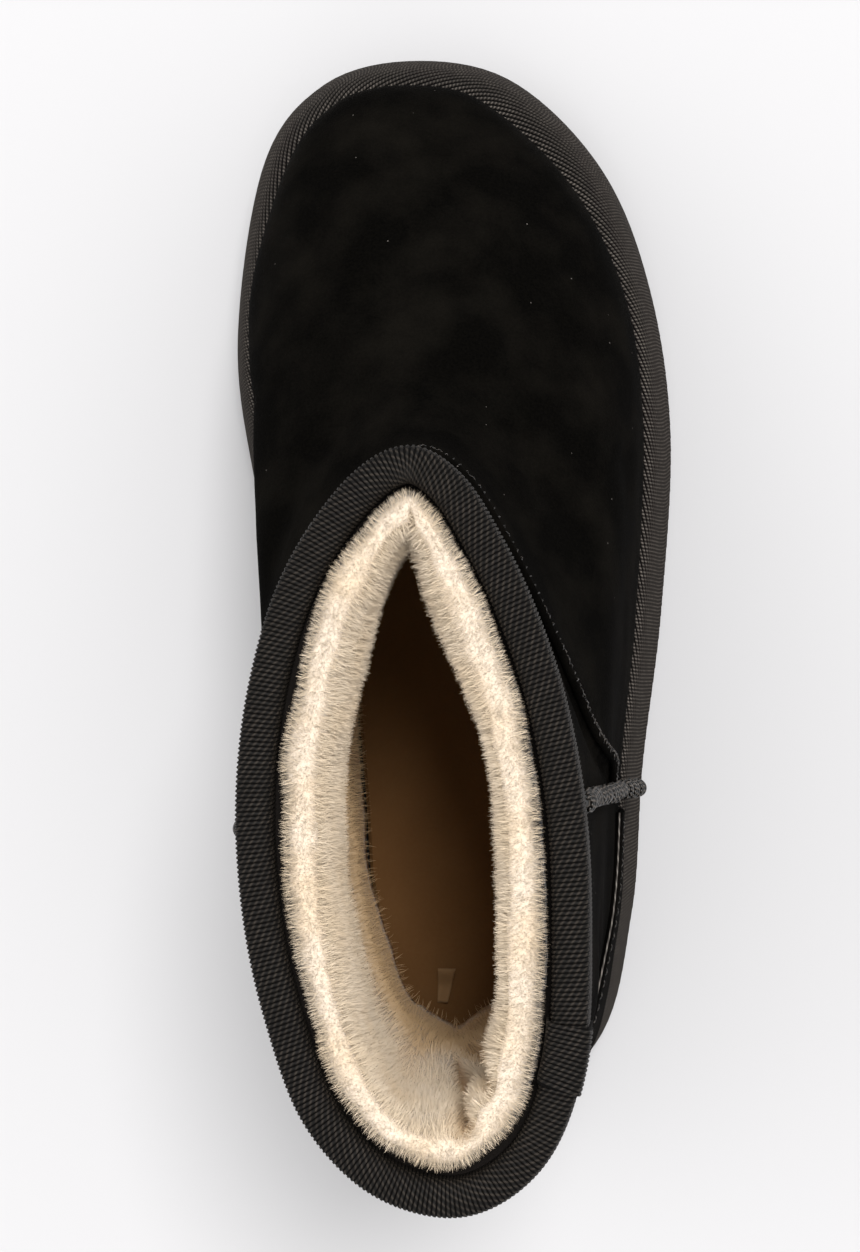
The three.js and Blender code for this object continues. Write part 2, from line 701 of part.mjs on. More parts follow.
function makeInsole() {
  const ring = (extra, up) =>
    ringAt((turn) => {
      const p = pilePoint(0, turn, pileFace + footPile(suedePoint(0, turn).y) + 2 * gap + extra);
      return p.setZ(seatTop(p.y) + gap + up);
    });
  return ringSolid([ring(0, 0), ring(0, insoleThickness - insoleEdge), ring(insoleEdge, insoleThickness)], false);
}

function makeLabel() {
  const corner = (x, y, up) => {
    const place = fromHeel(labelFromHeel) + y * labelLength;
    return new THREE.Vector3(x * labelWidth, place, seatTop(place) + insoleThickness + 2 * gap + up);
  };
  const face = (up) => [-0.5, 0.5].map((x) => [-0.5, 0.5].map((y) => corner(x, y, up)));
  return patchSolid(face(labelThickness), face(0));
}

const group = new THREE.Group();
function addPiece(name, made, colour, roughness) {
  const mesh = made.getMesh();
  const geometry = new THREE.BufferGeometry();
  geometry.setAttribute("position", new THREE.BufferAttribute(new Float32Array(mesh.vertProperties), 3));
  geometry.setIndex(new THREE.BufferAttribute(new Uint32Array(mesh.triVerts), 1));
  geometry.computeVertexNormals();
  const material = new THREE.MeshStandardMaterial({ color: colour, roughness, metalness: 0 });
  const piece = new THREE.Mesh(geometry, material);
  piece.name = name;
  group.add(piece);
}

addPiece("outsole", makeOutsole(), 0x1b1a19, 0.8);
addPiece("platform", makePlatform(), 0x24211f, 0.9);
addPiece("sole_tape", makeTape(), tapeColour, 0.75);
addPiece("upper", makeUpper(), suedeColour, 0.95);
addPiece("vamp_seam", makeVampSeam(), threadColour, 0.8);
addPiece("side_seam_outer", makeSideSeam(1), threadColour, 0.8);
addPiece("side_seam_inner", makeSideSeam(-1), threadColour, 0.8);
addPiece("heel_counter", makeCounter(), suedeColour, 0.95);
addPiece("collar_binding", makeBinding(), tapeColour, 0.75);
addPiece("fur_lining", makeFur(), furColour, 1);
addPiece("insole", makeInsole(), 0x33221a, 0.6);
addPiece("care_label", makeLabel(), 0x2a2320, 0.7);

export default group;
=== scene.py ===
# Looks of a sheepskin ankle boot, right foot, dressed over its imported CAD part.
# The shoe's own sizes are in millimetres here, and meshes are written in metres.
import math

import bpy
import numpy as np
from mathutils import Matrix, Vector, noise


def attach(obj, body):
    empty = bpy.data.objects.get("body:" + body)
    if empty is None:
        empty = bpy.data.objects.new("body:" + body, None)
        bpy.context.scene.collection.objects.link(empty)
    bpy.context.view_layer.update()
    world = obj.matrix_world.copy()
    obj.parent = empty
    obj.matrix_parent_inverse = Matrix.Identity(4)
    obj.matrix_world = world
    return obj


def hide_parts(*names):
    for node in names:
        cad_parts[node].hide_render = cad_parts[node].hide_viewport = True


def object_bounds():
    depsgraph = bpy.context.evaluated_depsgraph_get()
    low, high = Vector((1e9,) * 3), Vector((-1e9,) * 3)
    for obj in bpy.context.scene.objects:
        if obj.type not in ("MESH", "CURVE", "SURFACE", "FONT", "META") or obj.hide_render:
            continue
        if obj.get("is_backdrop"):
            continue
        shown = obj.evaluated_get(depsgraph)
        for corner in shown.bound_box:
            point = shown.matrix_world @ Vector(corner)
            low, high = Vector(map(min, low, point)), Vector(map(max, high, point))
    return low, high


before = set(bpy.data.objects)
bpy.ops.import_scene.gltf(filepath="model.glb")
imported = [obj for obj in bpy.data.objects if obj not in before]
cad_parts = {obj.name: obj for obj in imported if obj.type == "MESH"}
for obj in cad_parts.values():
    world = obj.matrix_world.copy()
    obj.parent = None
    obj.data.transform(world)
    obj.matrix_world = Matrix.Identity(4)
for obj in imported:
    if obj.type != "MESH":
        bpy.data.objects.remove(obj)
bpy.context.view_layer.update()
metres = 0.001  # one millimetre
print("stage: frame loaded")


# Curves

def mix(a, b, t):
    return a + (b - a) * t


def ease(t):
    t = np.clip(t, 0, 1)
    return t * t * (3 - 2 * t)


def curveValue(values, t, closed=False):  # evenly spaced values, smooth between them
    values = np.asarray(values, float)
    count = len(values)
    t = np.asarray(t, float)
    if closed:
        place = (t - np.floor(t)) * count
        i = np.floor(place).astype(int)
        a, b, c, d = (values[(i + k) % count] for k in (-1, 0, 1, 2))
    else:
        place = np.clip(t, 0, 1) * (count - 1)
        i = np.minimum(np.floor(place).astype(int), count - 2)
        longer = np.concatenate([[2 * values[0] - values[1]], values, [2 * values[-1] - values[-2]]])
        a, b, c, d = (longer[i + k] for k in (0, 1, 2, 3))
    f = place - i
    return b + 0.5 * f * (c - a + f * (2 * a - 5 * b + 4 * c - d + f * (3 * (b - c) + d - a)))


def unit(v):
    return v / np.maximum(np.linalg.norm(v, axis=-1, keepdims=True), 1e-12)


def runLength(points):  # how far along a line of points each of them lies
    return np.concatenate([[0], np.cumsum(np.linalg.norm(np.diff(points, axis=0), axis=-1))])


def alongRun(at, run, rows):  # vectors that belong to a line's points, read at other distances
    return np.stack([np.interp(at, run, rows[:, k]) for k in range(3)], -1)


def solveFor(measure, target, low, high):  # the value at which a steady measure reaches its target
    low, high, target = np.broadcast_arrays(*(np.asarray(v, float) for v in (low, high, target)))
    low, high = low.copy(), high.copy()
    rising = measure(high) > measure(low)
    for _ in range(26):
        middle = (low + high) / 2
        under = (measure(middle) < target) == rising
        low, high = np.where(under, middle, low), np.where(under, high, middle)
    return (low + high) / 2


# The last and the sole's edge, with the CAD part's own sizes

last = {
    "soleLength": 268.5, "ballWidth": 109.6, "heelHeight": 36, "ballHeight": 31,
    "toeSpring": 7, "springStart": 180, "archLift": 2.2, "archFrom": 66, "archTo": 142,
    "outsoleThickness": 5.5, "tapeThickness": 1.3, "sideLedge": 8.6, "toeLedge": 15,
    "heelLedge": 7.2, "wallFlare": 2.6, "shoulderRound": 2.7, "gap": 0.3,
    # Seen from above: shares of half the width and half the length, from the toe round by the outer side
    "footOutline": [
        (-0.17, 1.0), (0.29, 0.96), (0.69, 0.8), (0.906, 0.58), (1.0, 0.305), (0.954, -0.028),
        (0.866, -0.317), (0.815, -0.591), (0.64, -0.84), (0.07, -1.0), (-0.48, -0.858),
        (-0.672, -0.598), (-0.718, -0.317), (-0.775, -0.036), (-0.92, 0.216), (-1.0, 0.483),
        (-0.875, 0.81), (-0.59, 0.957)],
}
halfLength = last["soleLength"] / 2
gap = last["gap"]


def fittedOutline(rows):
    fits = []
    for values in np.array(rows).T:
        every = curveValue(values, np.arange(720) / 720, True)
        fits.append((values, every.min(), every.max()))
    return lambda turn: tuple(2 * (curveValue(v, turn, True) - a) / (b - a) - 1 for v, a, b in fits)


footShape = fittedOutline(last["footOutline"])


def springAt(y):
    start = last["springStart"] - halfLength
    return last["toeSpring"] * np.clip((y - start) / (halfLength - start), 0, 1) ** 2


def floorLine(y):
    middle = (last["archFrom"] + last["archTo"]) / 2 - halfLength
    half = (last["archTo"] - last["archFrom"]) / 2
    return springAt(y) + last["archLift"] * ease(2 * (1 - np.abs(y - middle) / half))


def edgeTop(y):
    drop = ease((y - last["archFrom"] + halfLength) / (last["springStart"] - last["archFrom"]))
    return mix(last["heelHeight"], last["ballHeight"], drop) + springAt(y)


def seatTop(y):
    return edgeTop(y) - last["tapeThickness"] - gap


def solePoint(turn, inset):
    def at(t):
        x, y = footShape(t)
        return np.stack([x * last["ballWidth"] / 2, y * halfLength], -1)
    along = unit(at(turn + 1e-4) - at(turn - 1e-4))
    p = at(turn)
    return p[..., 0] + along[..., 1] * inset, p[..., 1] - along[..., 0] * inset


def ledgeAt(turn):
    y = footShape(turn)[1]
    side = mix(last["sideLedge"], last["toeLedge"], ease((y - 0.45) / 0.5))
    return mix(side, last["heelLedge"], ease((0.3 - y) / 0.9))


def wallPoint(turn, share, depth=0.0):  # on the taped side: share 0 over the outsole, 1 at the upper
    turn, share = np.broadcast_arrays(np.asarray(turn, float), np.asarray(share, float))
    shelf = ledgeAt(turn)
    top = edgeTop(solePoint(turn, shelf)[1])
    low = floorLine(solePoint(turn, 0)[1]) + last["outsoleThickness"] + gap

    def inset(s):
        roundness = last["shoulderRound"]
        rolled = 1 - (1 - np.clip(s, 0, 1) ** roundness) ** (1 / roundness)
        return last["wallFlare"] * s + (shelf - last["wallFlare"]) * rolled
    before, after = np.maximum(0, share - 1e-3), np.minimum(1, share + 1e-3)
    out, up = inset(after) - inset(before), (top - low) * (after - before)
    length = np.hypot(out, up)
    x, y = solePoint(turn, inset(share) + up / length * depth)
    return np.stack([x, y, mix(low, top, share) - out / length * depth], -1)


# The upper's form

upperForm = {
    "bootHeight": 166, "suedeWall": 1.8, "seatInset": 0.9, "toePuff": 1.6, "heelPuff": 3.6,
    "innerWaistPuff": -0.4, "collarLength": 140.8, "collarWidth": 63.6, "collarBackSet": 12.8,
    "collarShift": 1.8, "collarSlope": 2, "bindingThickness": 0.9,
    "collarOutline": [
        (-0.04, 1.0), (0.25, 0.93), (0.495, 0.756), (0.694, 0.56), (0.862, 0.324), (0.97, 0.045),
        (1.0, -0.262), (0.963, -0.611), (0.745, -0.87), (0.32, -1.0), (-0.19, -0.955),
        (-0.59, -0.778), (-0.82, -0.513), (-0.957, -0.234), (-1.0, 0.073), (-0.927, 0.379),
        (-0.728, 0.672), (-0.376, 0.909)],
    # Rings from the seat to the collar, as in the CAD part
    "slide": [0, 0, 0.044, 0.195, 0.39, 0.605, 0.79, 0.917, 0.98, 1],
    "frontRise": [0, 0.09, 0.2, 0.289, 0.364, 0.431, 0.506, 0.613, 0.787, 1],
    "backRise": [0, 0.1, 0.19, 0.27, 0.352, 0.437, 0.522, 0.622, 0.79, 1],
    "narrow": [0, 0, 0.07, 0.18, 0.29, 0.42, 0.6, 0.8, 0.94, 1],
    "oval": [0, 0, 0.04, 0.12, 0.26, 0.46, 0.7, 0.9, 1, 1],
    "puff": [-0.35, 1, 0.8, 0.45, 0.2, 0.1, 0, 0, 0, 0],
}
collarShape = fittedOutline(upperForm["collarOutline"])
collarBack = upperForm["collarBackSet"] - halfLength
collarFront = collarBack + upperForm["collarLength"]
suedeTop = upperForm["bootHeight"] - upperForm["bindingThickness"] - gap


def suedePoint(level, turn):  # level 0 at the seat, 1 at the collar
    level, turn = np.broadcast_arrays(np.asarray(level, float), np.asarray(turn, float))
    ring = {name: curveValue(upperForm[name], level)
            for name in ("slide", "frontRise", "backRise", "narrow", "oval", "puff")}
    footX, footY = footShape(turn)
    ovalX, ovalY = collarShape(turn)
    waist = ease(-1.3 * footX) * ease(1.6 - 3 * np.abs(footY - 0.05))
    swell = mix(upperForm["heelPuff"], upperForm["toePuff"], ease((footY + 1) / 2))
    puff = mix(swell, upperForm["innerWaistPuff"], waist) * ring["puff"]
    seatX, seatY = solePoint(turn, ledgeAt(turn) + upperForm["seatInset"])
    toe, heel = halfLength - last["toeLedge"], last["heelLedge"] - halfLength
    back, front = mix(heel, collarBack, ring["narrow"]), mix(toe, collarFront, ring["slide"])
    seatHalf = last["ballWidth"] / 2 - last["sideLedge"]
    half = mix(seatHalf, upperForm["collarWidth"] / 2, ring["narrow"])
    x1 = seatX * half / seatHalf + footX * puff
    y1 = mix(back, front, (seatY - heel) / (toe - heel)) + footY * puff
    x2 = ovalX * half + upperForm["collarShift"] + ovalX * puff
    y2 = mix(back, front, (ovalY + 1) / 2) + ovalY * puff
    x, y = mix(x1, x2, ring["oval"]), mix(y1, y2, ring["oval"])
    forward = np.clip((y - back) / (front - back), 0, 1)
    rise = mix(ring["backRise"], ring["frontRise"], forward)
    top = suedeTop - upperForm["collarSlope"] * forward
    return np.stack([x, y, mix(seatTop(seatY) + gap, top, rise)], -1)


def suedeNormal(level, turn):
    level, step = np.asarray(level, float), 2e-3
    up = suedePoint(np.minimum(1, level + step), turn) - suedePoint(np.maximum(0, level - step), turn)
    return unit(np.cross(up, suedePoint(level, turn + step) - suedePoint(level, turn - step)))


def onSuede(level, turn, height=0.0):
    return suedePoint(level, turn) + suedeNormal(level, turn) * np.asarray(height, float)[..., None]


def levelAt(turn, height):
    return solveFor(lambda level: suedePoint(level, turn)[..., 2], height, 0.0, np.ones_like(turn))


def collarPoint(turn, out, up):  # out from the suede's face, and up over its top edge or down from it
    turn, out, up = np.broadcast_arrays(*(np.asarray(v, float) for v in (turn, out, up)))
    level = np.where(up > 0, 1.0, levelAt(turn, suedePoint(1, turn)[..., 2] + np.minimum(up, 0)))
    place = onSuede(level, turn, out)
    place[..., 2] += np.maximum(up, 0)
    return place


def crowdedTurns(count):  # closer together at the toe and the heel
    even = np.arange(count) / count
    return even - 0.3 * np.sin(4 * np.pi * even) / (4 * np.pi)


# Meshes

def gridFaces(rows, columns, loopRows=False, loopColumns=False):
    r = np.arange(rows if loopRows else rows - 1)[:, None]
    c = np.arange(columns if loopColumns else columns - 1)[None, :]
    r2, c2 = (r + 1) % rows, (c + 1) % columns
    corners = [r * columns + c, r * columns + c2, r2 * columns + c2, r2 * columns + c]
    return np.stack(np.broadcast_arrays(*corners), -1).reshape(-1, 4)


def outwardFaces(points, faces):  # turned round where the solid would be inside out
    p = points[faces]
    volume = np.einsum("ij,ij->", p[:, 0], np.cross(p[:, 1], p[:, 2]) + np.cross(p[:, 2], p[:, 3]))
    return faces[:, ::-1] if volume < 0 else faces


def linked(name, data):
    made = bpy.data.objects.new(name, data)
    bpy.context.scene.collection.objects.link(made)
    return made


def keepValues(mesh, label, kind, values):
    field = "vector" if kind == "FLOAT_VECTOR" else "value"
    made = mesh.attributes.new(label, kind, "POINT")
    made.data.foreach_set(field, np.asarray(values, np.float32).ravel())


def meshObject(name, points, faces, material=None, attributes={}):
    mesh = bpy.data.meshes.new(name)
    mesh.from_pydata((points.reshape(-1, 3) * metres).tolist(), [], faces.tolist())
    for label, values in attributes.items():
        vectors = values.shape[-1] == 3 and values.size == points.size
        keepValues(mesh, label, "FLOAT_VECTOR" if vectors else "FLOAT", values)
    mesh.shade_smooth()
    if material:
        mesh.materials.append(material)
    return linked(name, mesh)


def ringPiece(name, rings, material, attributes={}):  # rings of points, stacked into a closed wall
    points = np.stack(rings)
    faces = gridFaces(points.shape[0], points.shape[1], True, True)
    return meshObject(name, points, outwardFaces(points.reshape(-1, 3), faces), material, attributes)


def patchPiece(name, outer, inner, material):  # an outer and an inner sheet, closed round their rim
    rows, columns = outer.shape[:2]
    count = rows * columns
    front = gridFaces(rows, columns)
    grid = np.arange(count).reshape(rows, columns)
    rim = np.concatenate([grid[0, :-1], grid[:-1, -1], grid[-1, :0:-1], grid[:0:-1, 0]])
    after = np.roll(rim, -1)
    sides = np.stack([rim, rim + count, after + count, after], -1)
    points = np.concatenate([outer.reshape(-1, 3), inner.reshape(-1, 3)])
    faces = np.concatenate([front, front[:, ::-1] + count, sides])
    return meshObject(name, points, outwardFaces(points, faces), material)


def lineObject(lines, thick):  # guide lines for Geometry Nodes, as bare edges
    edges, start = [], 0
    for line in lines:
        edges += [(start + i, start + i + 1) for i in range(len(line) - 1)]
        start += len(line)
    mesh = bpy.data.meshes.new("guide")
    mesh.from_pydata((np.concatenate(lines) * metres).tolist(), edges, [])
    phase = [np.full(len(line), (i * 0.618) % 1) for i, line in enumerate(lines)]
    keepValues(mesh, "thick", "FLOAT", np.concatenate(thick))
    keepValues(mesh, "phase", "FLOAT", np.concatenate(phase))
    return linked("guide", mesh)


# Node helpers

def node(tree, kind, inputs={}, **settings):
    made = tree.nodes.new(kind)
    for key, value in settings.items():
        setattr(made, key, value)
    for key, value in inputs.items():
        shown = [s for s in made.inputs if s.enabled]
        socket = shown[key] if isinstance(key, int) else next(s for s in shown if s.name == key)
        if isinstance(value, bpy.types.NodeSocket):
            tree.links.new(value, socket)
        else:
            socket.default_value = value
    return made


def out(made, key=0):
    shown = [s for s in made.outputs if s.enabled]
    return shown[key] if isinstance(key, int) else next(s for s in shown if s.name == key)


def math2(tree, operation, *values, clamp=False):
    return out(node(tree, "ShaderNodeMath", dict(enumerate(values)),
                    operation=operation, use_clamp=clamp))


def noiseAt(tree, place, size, detail):
    return node(tree, "ShaderNodeTexNoise", {
        "Vector": place, "Scale": math2(tree, "DIVIDE", 1.0, size), "Detail": detail})


def geometryTree(name, inputs):
    tree = bpy.data.node_groups.new(name, "GeometryNodeTree")
    face = tree.interface
    face.new_socket("Geometry", in_out="INPUT", socket_type="NodeSocketGeometry")
    for label, kind, value in inputs:
        made = face.new_socket(label, in_out="INPUT", socket_type="NodeSocket" + kind)
        if value is not None:
            made.default_value = value
    face.new_socket("Geometry", in_out="OUTPUT", socket_type="NodeSocketGeometry")
    return tree, tree.nodes.new("NodeGroupInput").outputs


def named(tree, label, kind="FLOAT"):
    return out(node(tree, "GeometryNodeInputNamedAttribute", {"Name": label}, data_type=kind))


def stored(tree, geometry, label, value, kind="FLOAT"):
    return out(node(tree, "GeometryNodeStoreNamedAttribute", {
        "Geometry": geometry, "Name": label, "Value": value}, data_type=kind, domain="POINT"))


def ended(tree, geometry, material):  # every tree ends in real meshes with their material
    real = node(tree, "GeometryNodeRealizeInstances", {"Geometry": geometry})
    dressed = node(tree, "GeometryNodeSetMaterial", {"Geometry": out(real), "Material": material})
    tree.links.new(out(dressed), node(tree, "NodeGroupOutput").inputs[0])
    return tree


def grown(name, source, tree, values, material):  # uses up a source object and keeps its mesh
    modifier = source.modifiers.new("grow", "NODES")
    modifier.node_group = tree
    values = dict(values, Material=material)
    for item in tree.interface.items_tree:
        if item.in_out == "INPUT" and item.name in values:
            modifier[item.identifier] = values[item.name]
    deps = bpy.context.evaluated_depsgraph_get()
    mesh = bpy.data.meshes.new_from_object(
        source.evaluated_get(deps), preserve_all_data_layers=True, depsgraph=deps)
    source.modifiers.remove(modifier)
    bpy.data.objects.remove(source)
    mesh.name = name
    mesh.shade_smooth()
    if not mesh.materials:
        mesh.materials.append(material)
    return linked(name, mesh)


def yarnPiece(name, lines, radius, sides, material, thick=None):  # its radius in millimetres
    guide = lineObject(lines, thick or [np.ones(len(line)) for line in lines])
    return grown(name, guide, yarnTree, {"Yarn radius": radius * metres, "Sides": sides}, material)


def makeYarnTree():  # yarn laid along guide lines, with its length and its round kept for the twist
    tree, take = geometryTree("yarnOnLines", [
        ("Yarn radius", "Float", 0.0004), ("Sides", "Int", 5), ("Material", "Material", None)])
    curve = node(tree, "GeometryNodeMeshToCurve", {"Mesh": take["Geometry"]})
    length = out(node(tree, "GeometryNodeSplineParameter"), "Length")
    circle = node(tree, "GeometryNodeCurvePrimitiveCircle",
                  {"Resolution": take["Sides"], "Radius": take["Yarn radius"]})
    place = out(node(tree, "GeometryNodeInputPosition"))
    facing = out(node(tree, "ShaderNodeVectorMath", {0: place}, operation="NORMALIZE"))
    swept = node(tree, "GeometryNodeCurveToMesh", {
        "Curve": stored(tree, out(curve), "yarnLength", length),
        "Profile Curve": stored(tree, out(circle), "yarnRound", facing, "FLOAT_VECTOR"),
        "Scale": named(tree, "thick"), "Fill Caps": True})
    return ended(tree, out(swept), take["Material"])


def makePlushTree():  # strands of pile scattered over a base, combed and clumped
    tree, take = geometryTree("plushOnBase", [
        ("Strands per square metre", "Float", 4e6), ("Length", "Float", 0.004),
        ("Width", "Float", 0.00012), ("Comb", "Float", 0.5), ("Clump", "Float", 0.5),
        ("Clump size", "Float", 0.0025), ("Seed", "Int", 1), ("Material", "Material", None)])

    def times(a, b):
        return math2(tree, "MULTIPLY", a, b)

    def vector(operation, a, b):
        return out(node(tree, "ShaderNodeVectorMath", {0: a, 1: b}, operation=operation))

    def scaledBy(a, factor):
        return out(node(tree, "ShaderNodeVectorMath", {"Vector": a, "Scale": factor},
                        operation="SCALE"))

    def anyOf(low, high, seed, kind="FLOAT"):
        return out(node(tree, "FunctionNodeRandomValue", {"Min": low, "Max": high, "Seed": seed},
                        data_type=kind))
    density = times(take["Strands per square metre"], named(tree, "density"))
    spread = node(tree, "GeometryNodeDistributePointsOnFaces",
                  {"Mesh": take["Geometry"], "Density": density, "Seed": take["Seed"]})
    # One strand: a narrow blade that tapers and bends over
    blade = node(tree, "GeometryNodeMeshGrid", {
        "Size X": take["Width"], "Size Y": take["Length"], "Vertices X": 2, "Vertices Y": 3})
    place = node(tree, "ShaderNodeSeparateXYZ", {0: out(node(tree, "GeometryNodeInputPosition"))})
    along = math2(tree, "ADD", math2(tree, "DIVIDE", out(place, "Y"), take["Length"]), 0.5)
    squared = math2(tree, "POWER", along, 2)
    taper = math2(tree, "SUBTRACT", 1.0, times(squared, 0.8))
    reach = math2(tree, "SUBTRACT", along, times(squared, 0.12))
    shape = node(tree, "ShaderNodeCombineXYZ", {
        "X": times(out(place, "X"), taper), "Y": times(reach, take["Length"]),
        "Z": times(times(squared, take["Length"]), 0.3)})
    kept = stored(tree, out(blade, "Mesh"), "strandAlong", along)
    shaped = node(tree, "GeometryNodeSetPosition", {"Geometry": kept, "Position": out(shape)})
    # Its lean: the skin's normal, combed, drawn into clumps and a little astray
    where = out(node(tree, "GeometryNodeInputPosition"))
    ripple = noiseAt(tree, where, take["Clump size"], 1.0)
    clump = scaledBy(vector("SUBTRACT", out(ripple, "Color"), (0.5, 0.5, 0.5)),
                     times(take["Clump"], 4.0))
    wander = anyOf((-0.25,) * 3, (0.25,) * 3, take["Seed"], "FLOAT_VECTOR")
    combed = scaledBy(named(tree, "comb", "FLOAT_VECTOR"), take["Comb"])
    lean = vector("ADD", out(spread, "Normal"), combed)
    lean = vector("ADD", vector("ADD", lean, clump), wander)
    turned = node(tree, "FunctionNodeAxisAngleToRotation",
                  {"Axis": (0, 1, 0), "Angle": anyOf(0.0, 6.283, 7)})
    aimed = node(tree, "FunctionNodeAlignRotationToVector",
                 {"Rotation": out(turned), "Vector": lean}, axis="Y")
    size = times(anyOf(0.6, 1.15, 3), named(tree, "pileLength"))
    points = stored(tree, out(spread, "Points"), "strandShade", anyOf(0.0, 1.0, 11))
    points = stored(tree, points, "skinNormal", out(spread, "Normal"), "FLOAT_VECTOR")
    planted = node(tree, "GeometryNodeInstanceOnPoints", {
        "Points": points, "Instance": out(shaped), "Rotation": out(aimed), "Scale": size})
    return ended(tree, out(planted), take["Material"])


yarnTree, plushTree = makeYarnTree(), makePlushTree()
print("stage: node trees made")


# Materials

def tone(red, green, blue):  # a colour as a screen shows it, 0 to 255
    def part(v):
        v /= 255
        return v / 12.92 if v <= 0.04045 else ((v + 0.055) / 1.055) ** 2.4
    return (part(red), part(green), part(blue), 1)


def shaderGroup(name, inputs, outputs):
    tree = bpy.data.node_groups.new(name, "ShaderNodeTree")
    for label, kind, value in inputs:
        made = tree.interface.new_socket(label, in_out="INPUT", socket_type="NodeSocket" + kind)
        made.default_value = value
    for label, kind in outputs:
        tree.interface.new_socket(label, in_out="OUTPUT", socket_type="NodeSocket" + kind)
    return tree, tree.nodes.new("NodeGroupInput").outputs, tree.nodes.new("NodeGroupOutput").inputs


def mixed(tree, factor, a, b, kind="RGBA"):
    return out(node(tree, "ShaderNodeMix", {"Factor": factor, "A": a, "B": b}, data_type=kind),
               "Result")


def kept(tree, label, key="Fac"):  # what the mesh keeps under a name
    return out(node(tree, "ShaderNodeAttribute", attribute_name=label), key)


def objectPlace(tree):
    return out(node(tree, "ShaderNodeTexCoord"), "Object")


def makeGrainGroup():  # cloudy colour and a fine grain height, both over object space
    tree, take, give = shaderGroup("fineGrain", [
        ("Colour", "Color", (0.5, 0.5, 0.5, 1)), ("Worn colour", "Color", (0.6, 0.6, 0.6, 1)),
        ("Cloud size", "Float", 0.02), ("Grain size", "Float", 0.0004), ("Contrast", "Float", 1.0)],
        [("Colour", "Color"), ("Height", "Float")])
    place = objectPlace(tree)
    cloud = noiseAt(tree, place, take["Cloud size"], 4.0)
    grain = noiseAt(tree, place, take["Grain size"], 2.0)
    mask = math2(tree, "MULTIPLY", math2(tree, "SUBTRACT", out(cloud, "Fac"), 0.42, clamp=True),
                 take["Contrast"], clamp=True)
    fine = math2(tree, "MULTIPLY_ADD", out(grain, "Fac"), 0.5, math2(tree, "MULTIPLY", mask, 0.8))
    tree.links.new(mixed(tree, fine, take["Colour"], take["Worn colour"]), give["Colour"])
    tree.links.new(out(grain, "Fac"), give["Height"])
    return tree


def makeLintGroup():  # a few pale specks of dust and lint
    tree, take, give = shaderGroup("lintSpecks", [
        ("Colour", "Color", (0, 0, 0, 1)), ("Lint colour", "Color", (0.2, 0.2, 0.2, 1)),
        ("Speck size", "Float", 0.00025), ("Spacing", "Float", 0.006)], [("Colour", "Color")])
    cells = node(tree, "ShaderNodeTexVoronoi", {
        "Vector": objectPlace(tree), "Scale": math2(tree, "DIVIDE", 1.0, take["Spacing"]),
        "Randomness": 1.0})
    reach = math2(tree, "DIVIDE", take["Speck size"], take["Spacing"])
    near = math2(tree, "LESS_THAN", out(cells, "Distance"), reach)
    chance = out(node(tree, "ShaderNodeSeparateColor", {0: out(cells, "Color")}), 0)
    some = math2(tree, "MULTIPLY", near, math2(tree, "GREATER_THAN", chance, 0.6))
    tree.links.new(mixed(tree, some, take["Colour"], take["Lint colour"]), give["Colour"])
    return tree


def makeTwistGroup():  # the lay of a twisted yarn, from its kept length and round, with a painted highlight on its crests
    tree, take, give = shaderGroup("yarnTwist", [
        ("Pitch", "Float", 0.0009), ("Colour", "Color", (0.02, 0.02, 0.02, 1)),
        ("Lit colour", "Color", (0.1, 0.1, 0.1, 1)), ("Fade after", "Float", 1.0)],
        [("Height", "Float"), ("Colour", "Color")])
    length = kept(tree, "yarnLength")
    side = node(tree, "ShaderNodeSeparateXYZ", {0: kept(tree, "yarnRound", "Vector")})
    turned = math2(tree, "ADD", math2(tree, "DIVIDE", length, take["Pitch"]), kept(tree, "phase"))
    angle = math2(tree, "MULTIPLY", turned, 2 * math.pi)
    wave = math2(tree, "ADD", math2(tree, "MULTIPLY", math2(tree, "SINE", angle), out(side, "X")),
                 math2(tree, "MULTIPLY", math2(tree, "COSINE", angle), out(side, "Y")))
    height = math2(tree, "MULTIPLY_ADD", wave, 0.5, 0.5)
    # Painted highlight: the lit colour shows on the twist's crests, only in noise patches
    highlightPatches = node(tree, "ShaderNodeTexNoise", {
        "Vector": objectPlace(tree), "Scale": 420.0, "Detail": 1.0})
    share = node(tree, "ShaderNodeMapRange", {
        "Value": out(highlightPatches, "Fac"), "From Min": 0.38, "From Max": 0.62, "To Min": 0.55})
    plain = node(tree, "ShaderNodeMapRange", {  # the painted highlight fades along the yarn
        "Value": length, "From Min": take["Fade after"], "To Min": 1.0, "To Max": 0.3,
        "From Max": math2(tree, "MULTIPLY", take["Fade after"], 2.0)})
    share = math2(tree, "MULTIPLY", out(share), out(plain))
    paintedHighlight = math2(tree, "MULTIPLY", math2(tree, "POWER", height, 2.5), share)
    tree.links.new(height, give["Height"])
    tree.links.new(mixed(tree, paintedHighlight, take["Colour"], take["Lit colour"]), give["Colour"])
    return tree


grainGroup, lintGroup, twistGroup = makeGrainGroup(), makeLintGroup(), makeTwistGroup()


def finish(name, **fixed):  # a Principled material with its plain values set on its own sockets
    material = bpy.data.materials.new(name)
    material.use_nodes = True
    tree = material.node_tree
    shader = tree.nodes["Principled BSDF"]
    for label, value in fixed.items():
        shader.inputs[label.replace("_", " ")].default_value = value
    return material, tree, shader


def grouped(tree, group, values):
    made = tree.nodes.new("ShaderNodeGroup")
    made.node_tree = group
    for label, value in values.items():
        if isinstance(value, bpy.types.NodeSocket):
            tree.links.new(value, made.inputs[label])
        else:
            made.inputs[label].default_value = value
    return made.outputs


def bumped(tree, shader, height, strength, distance):
    bump = node(tree, "ShaderNodeBump", {"Height": height, "Strength": strength, "Distance": distance})
    tree.links.new(out(bump), shader.inputs["Normal"])


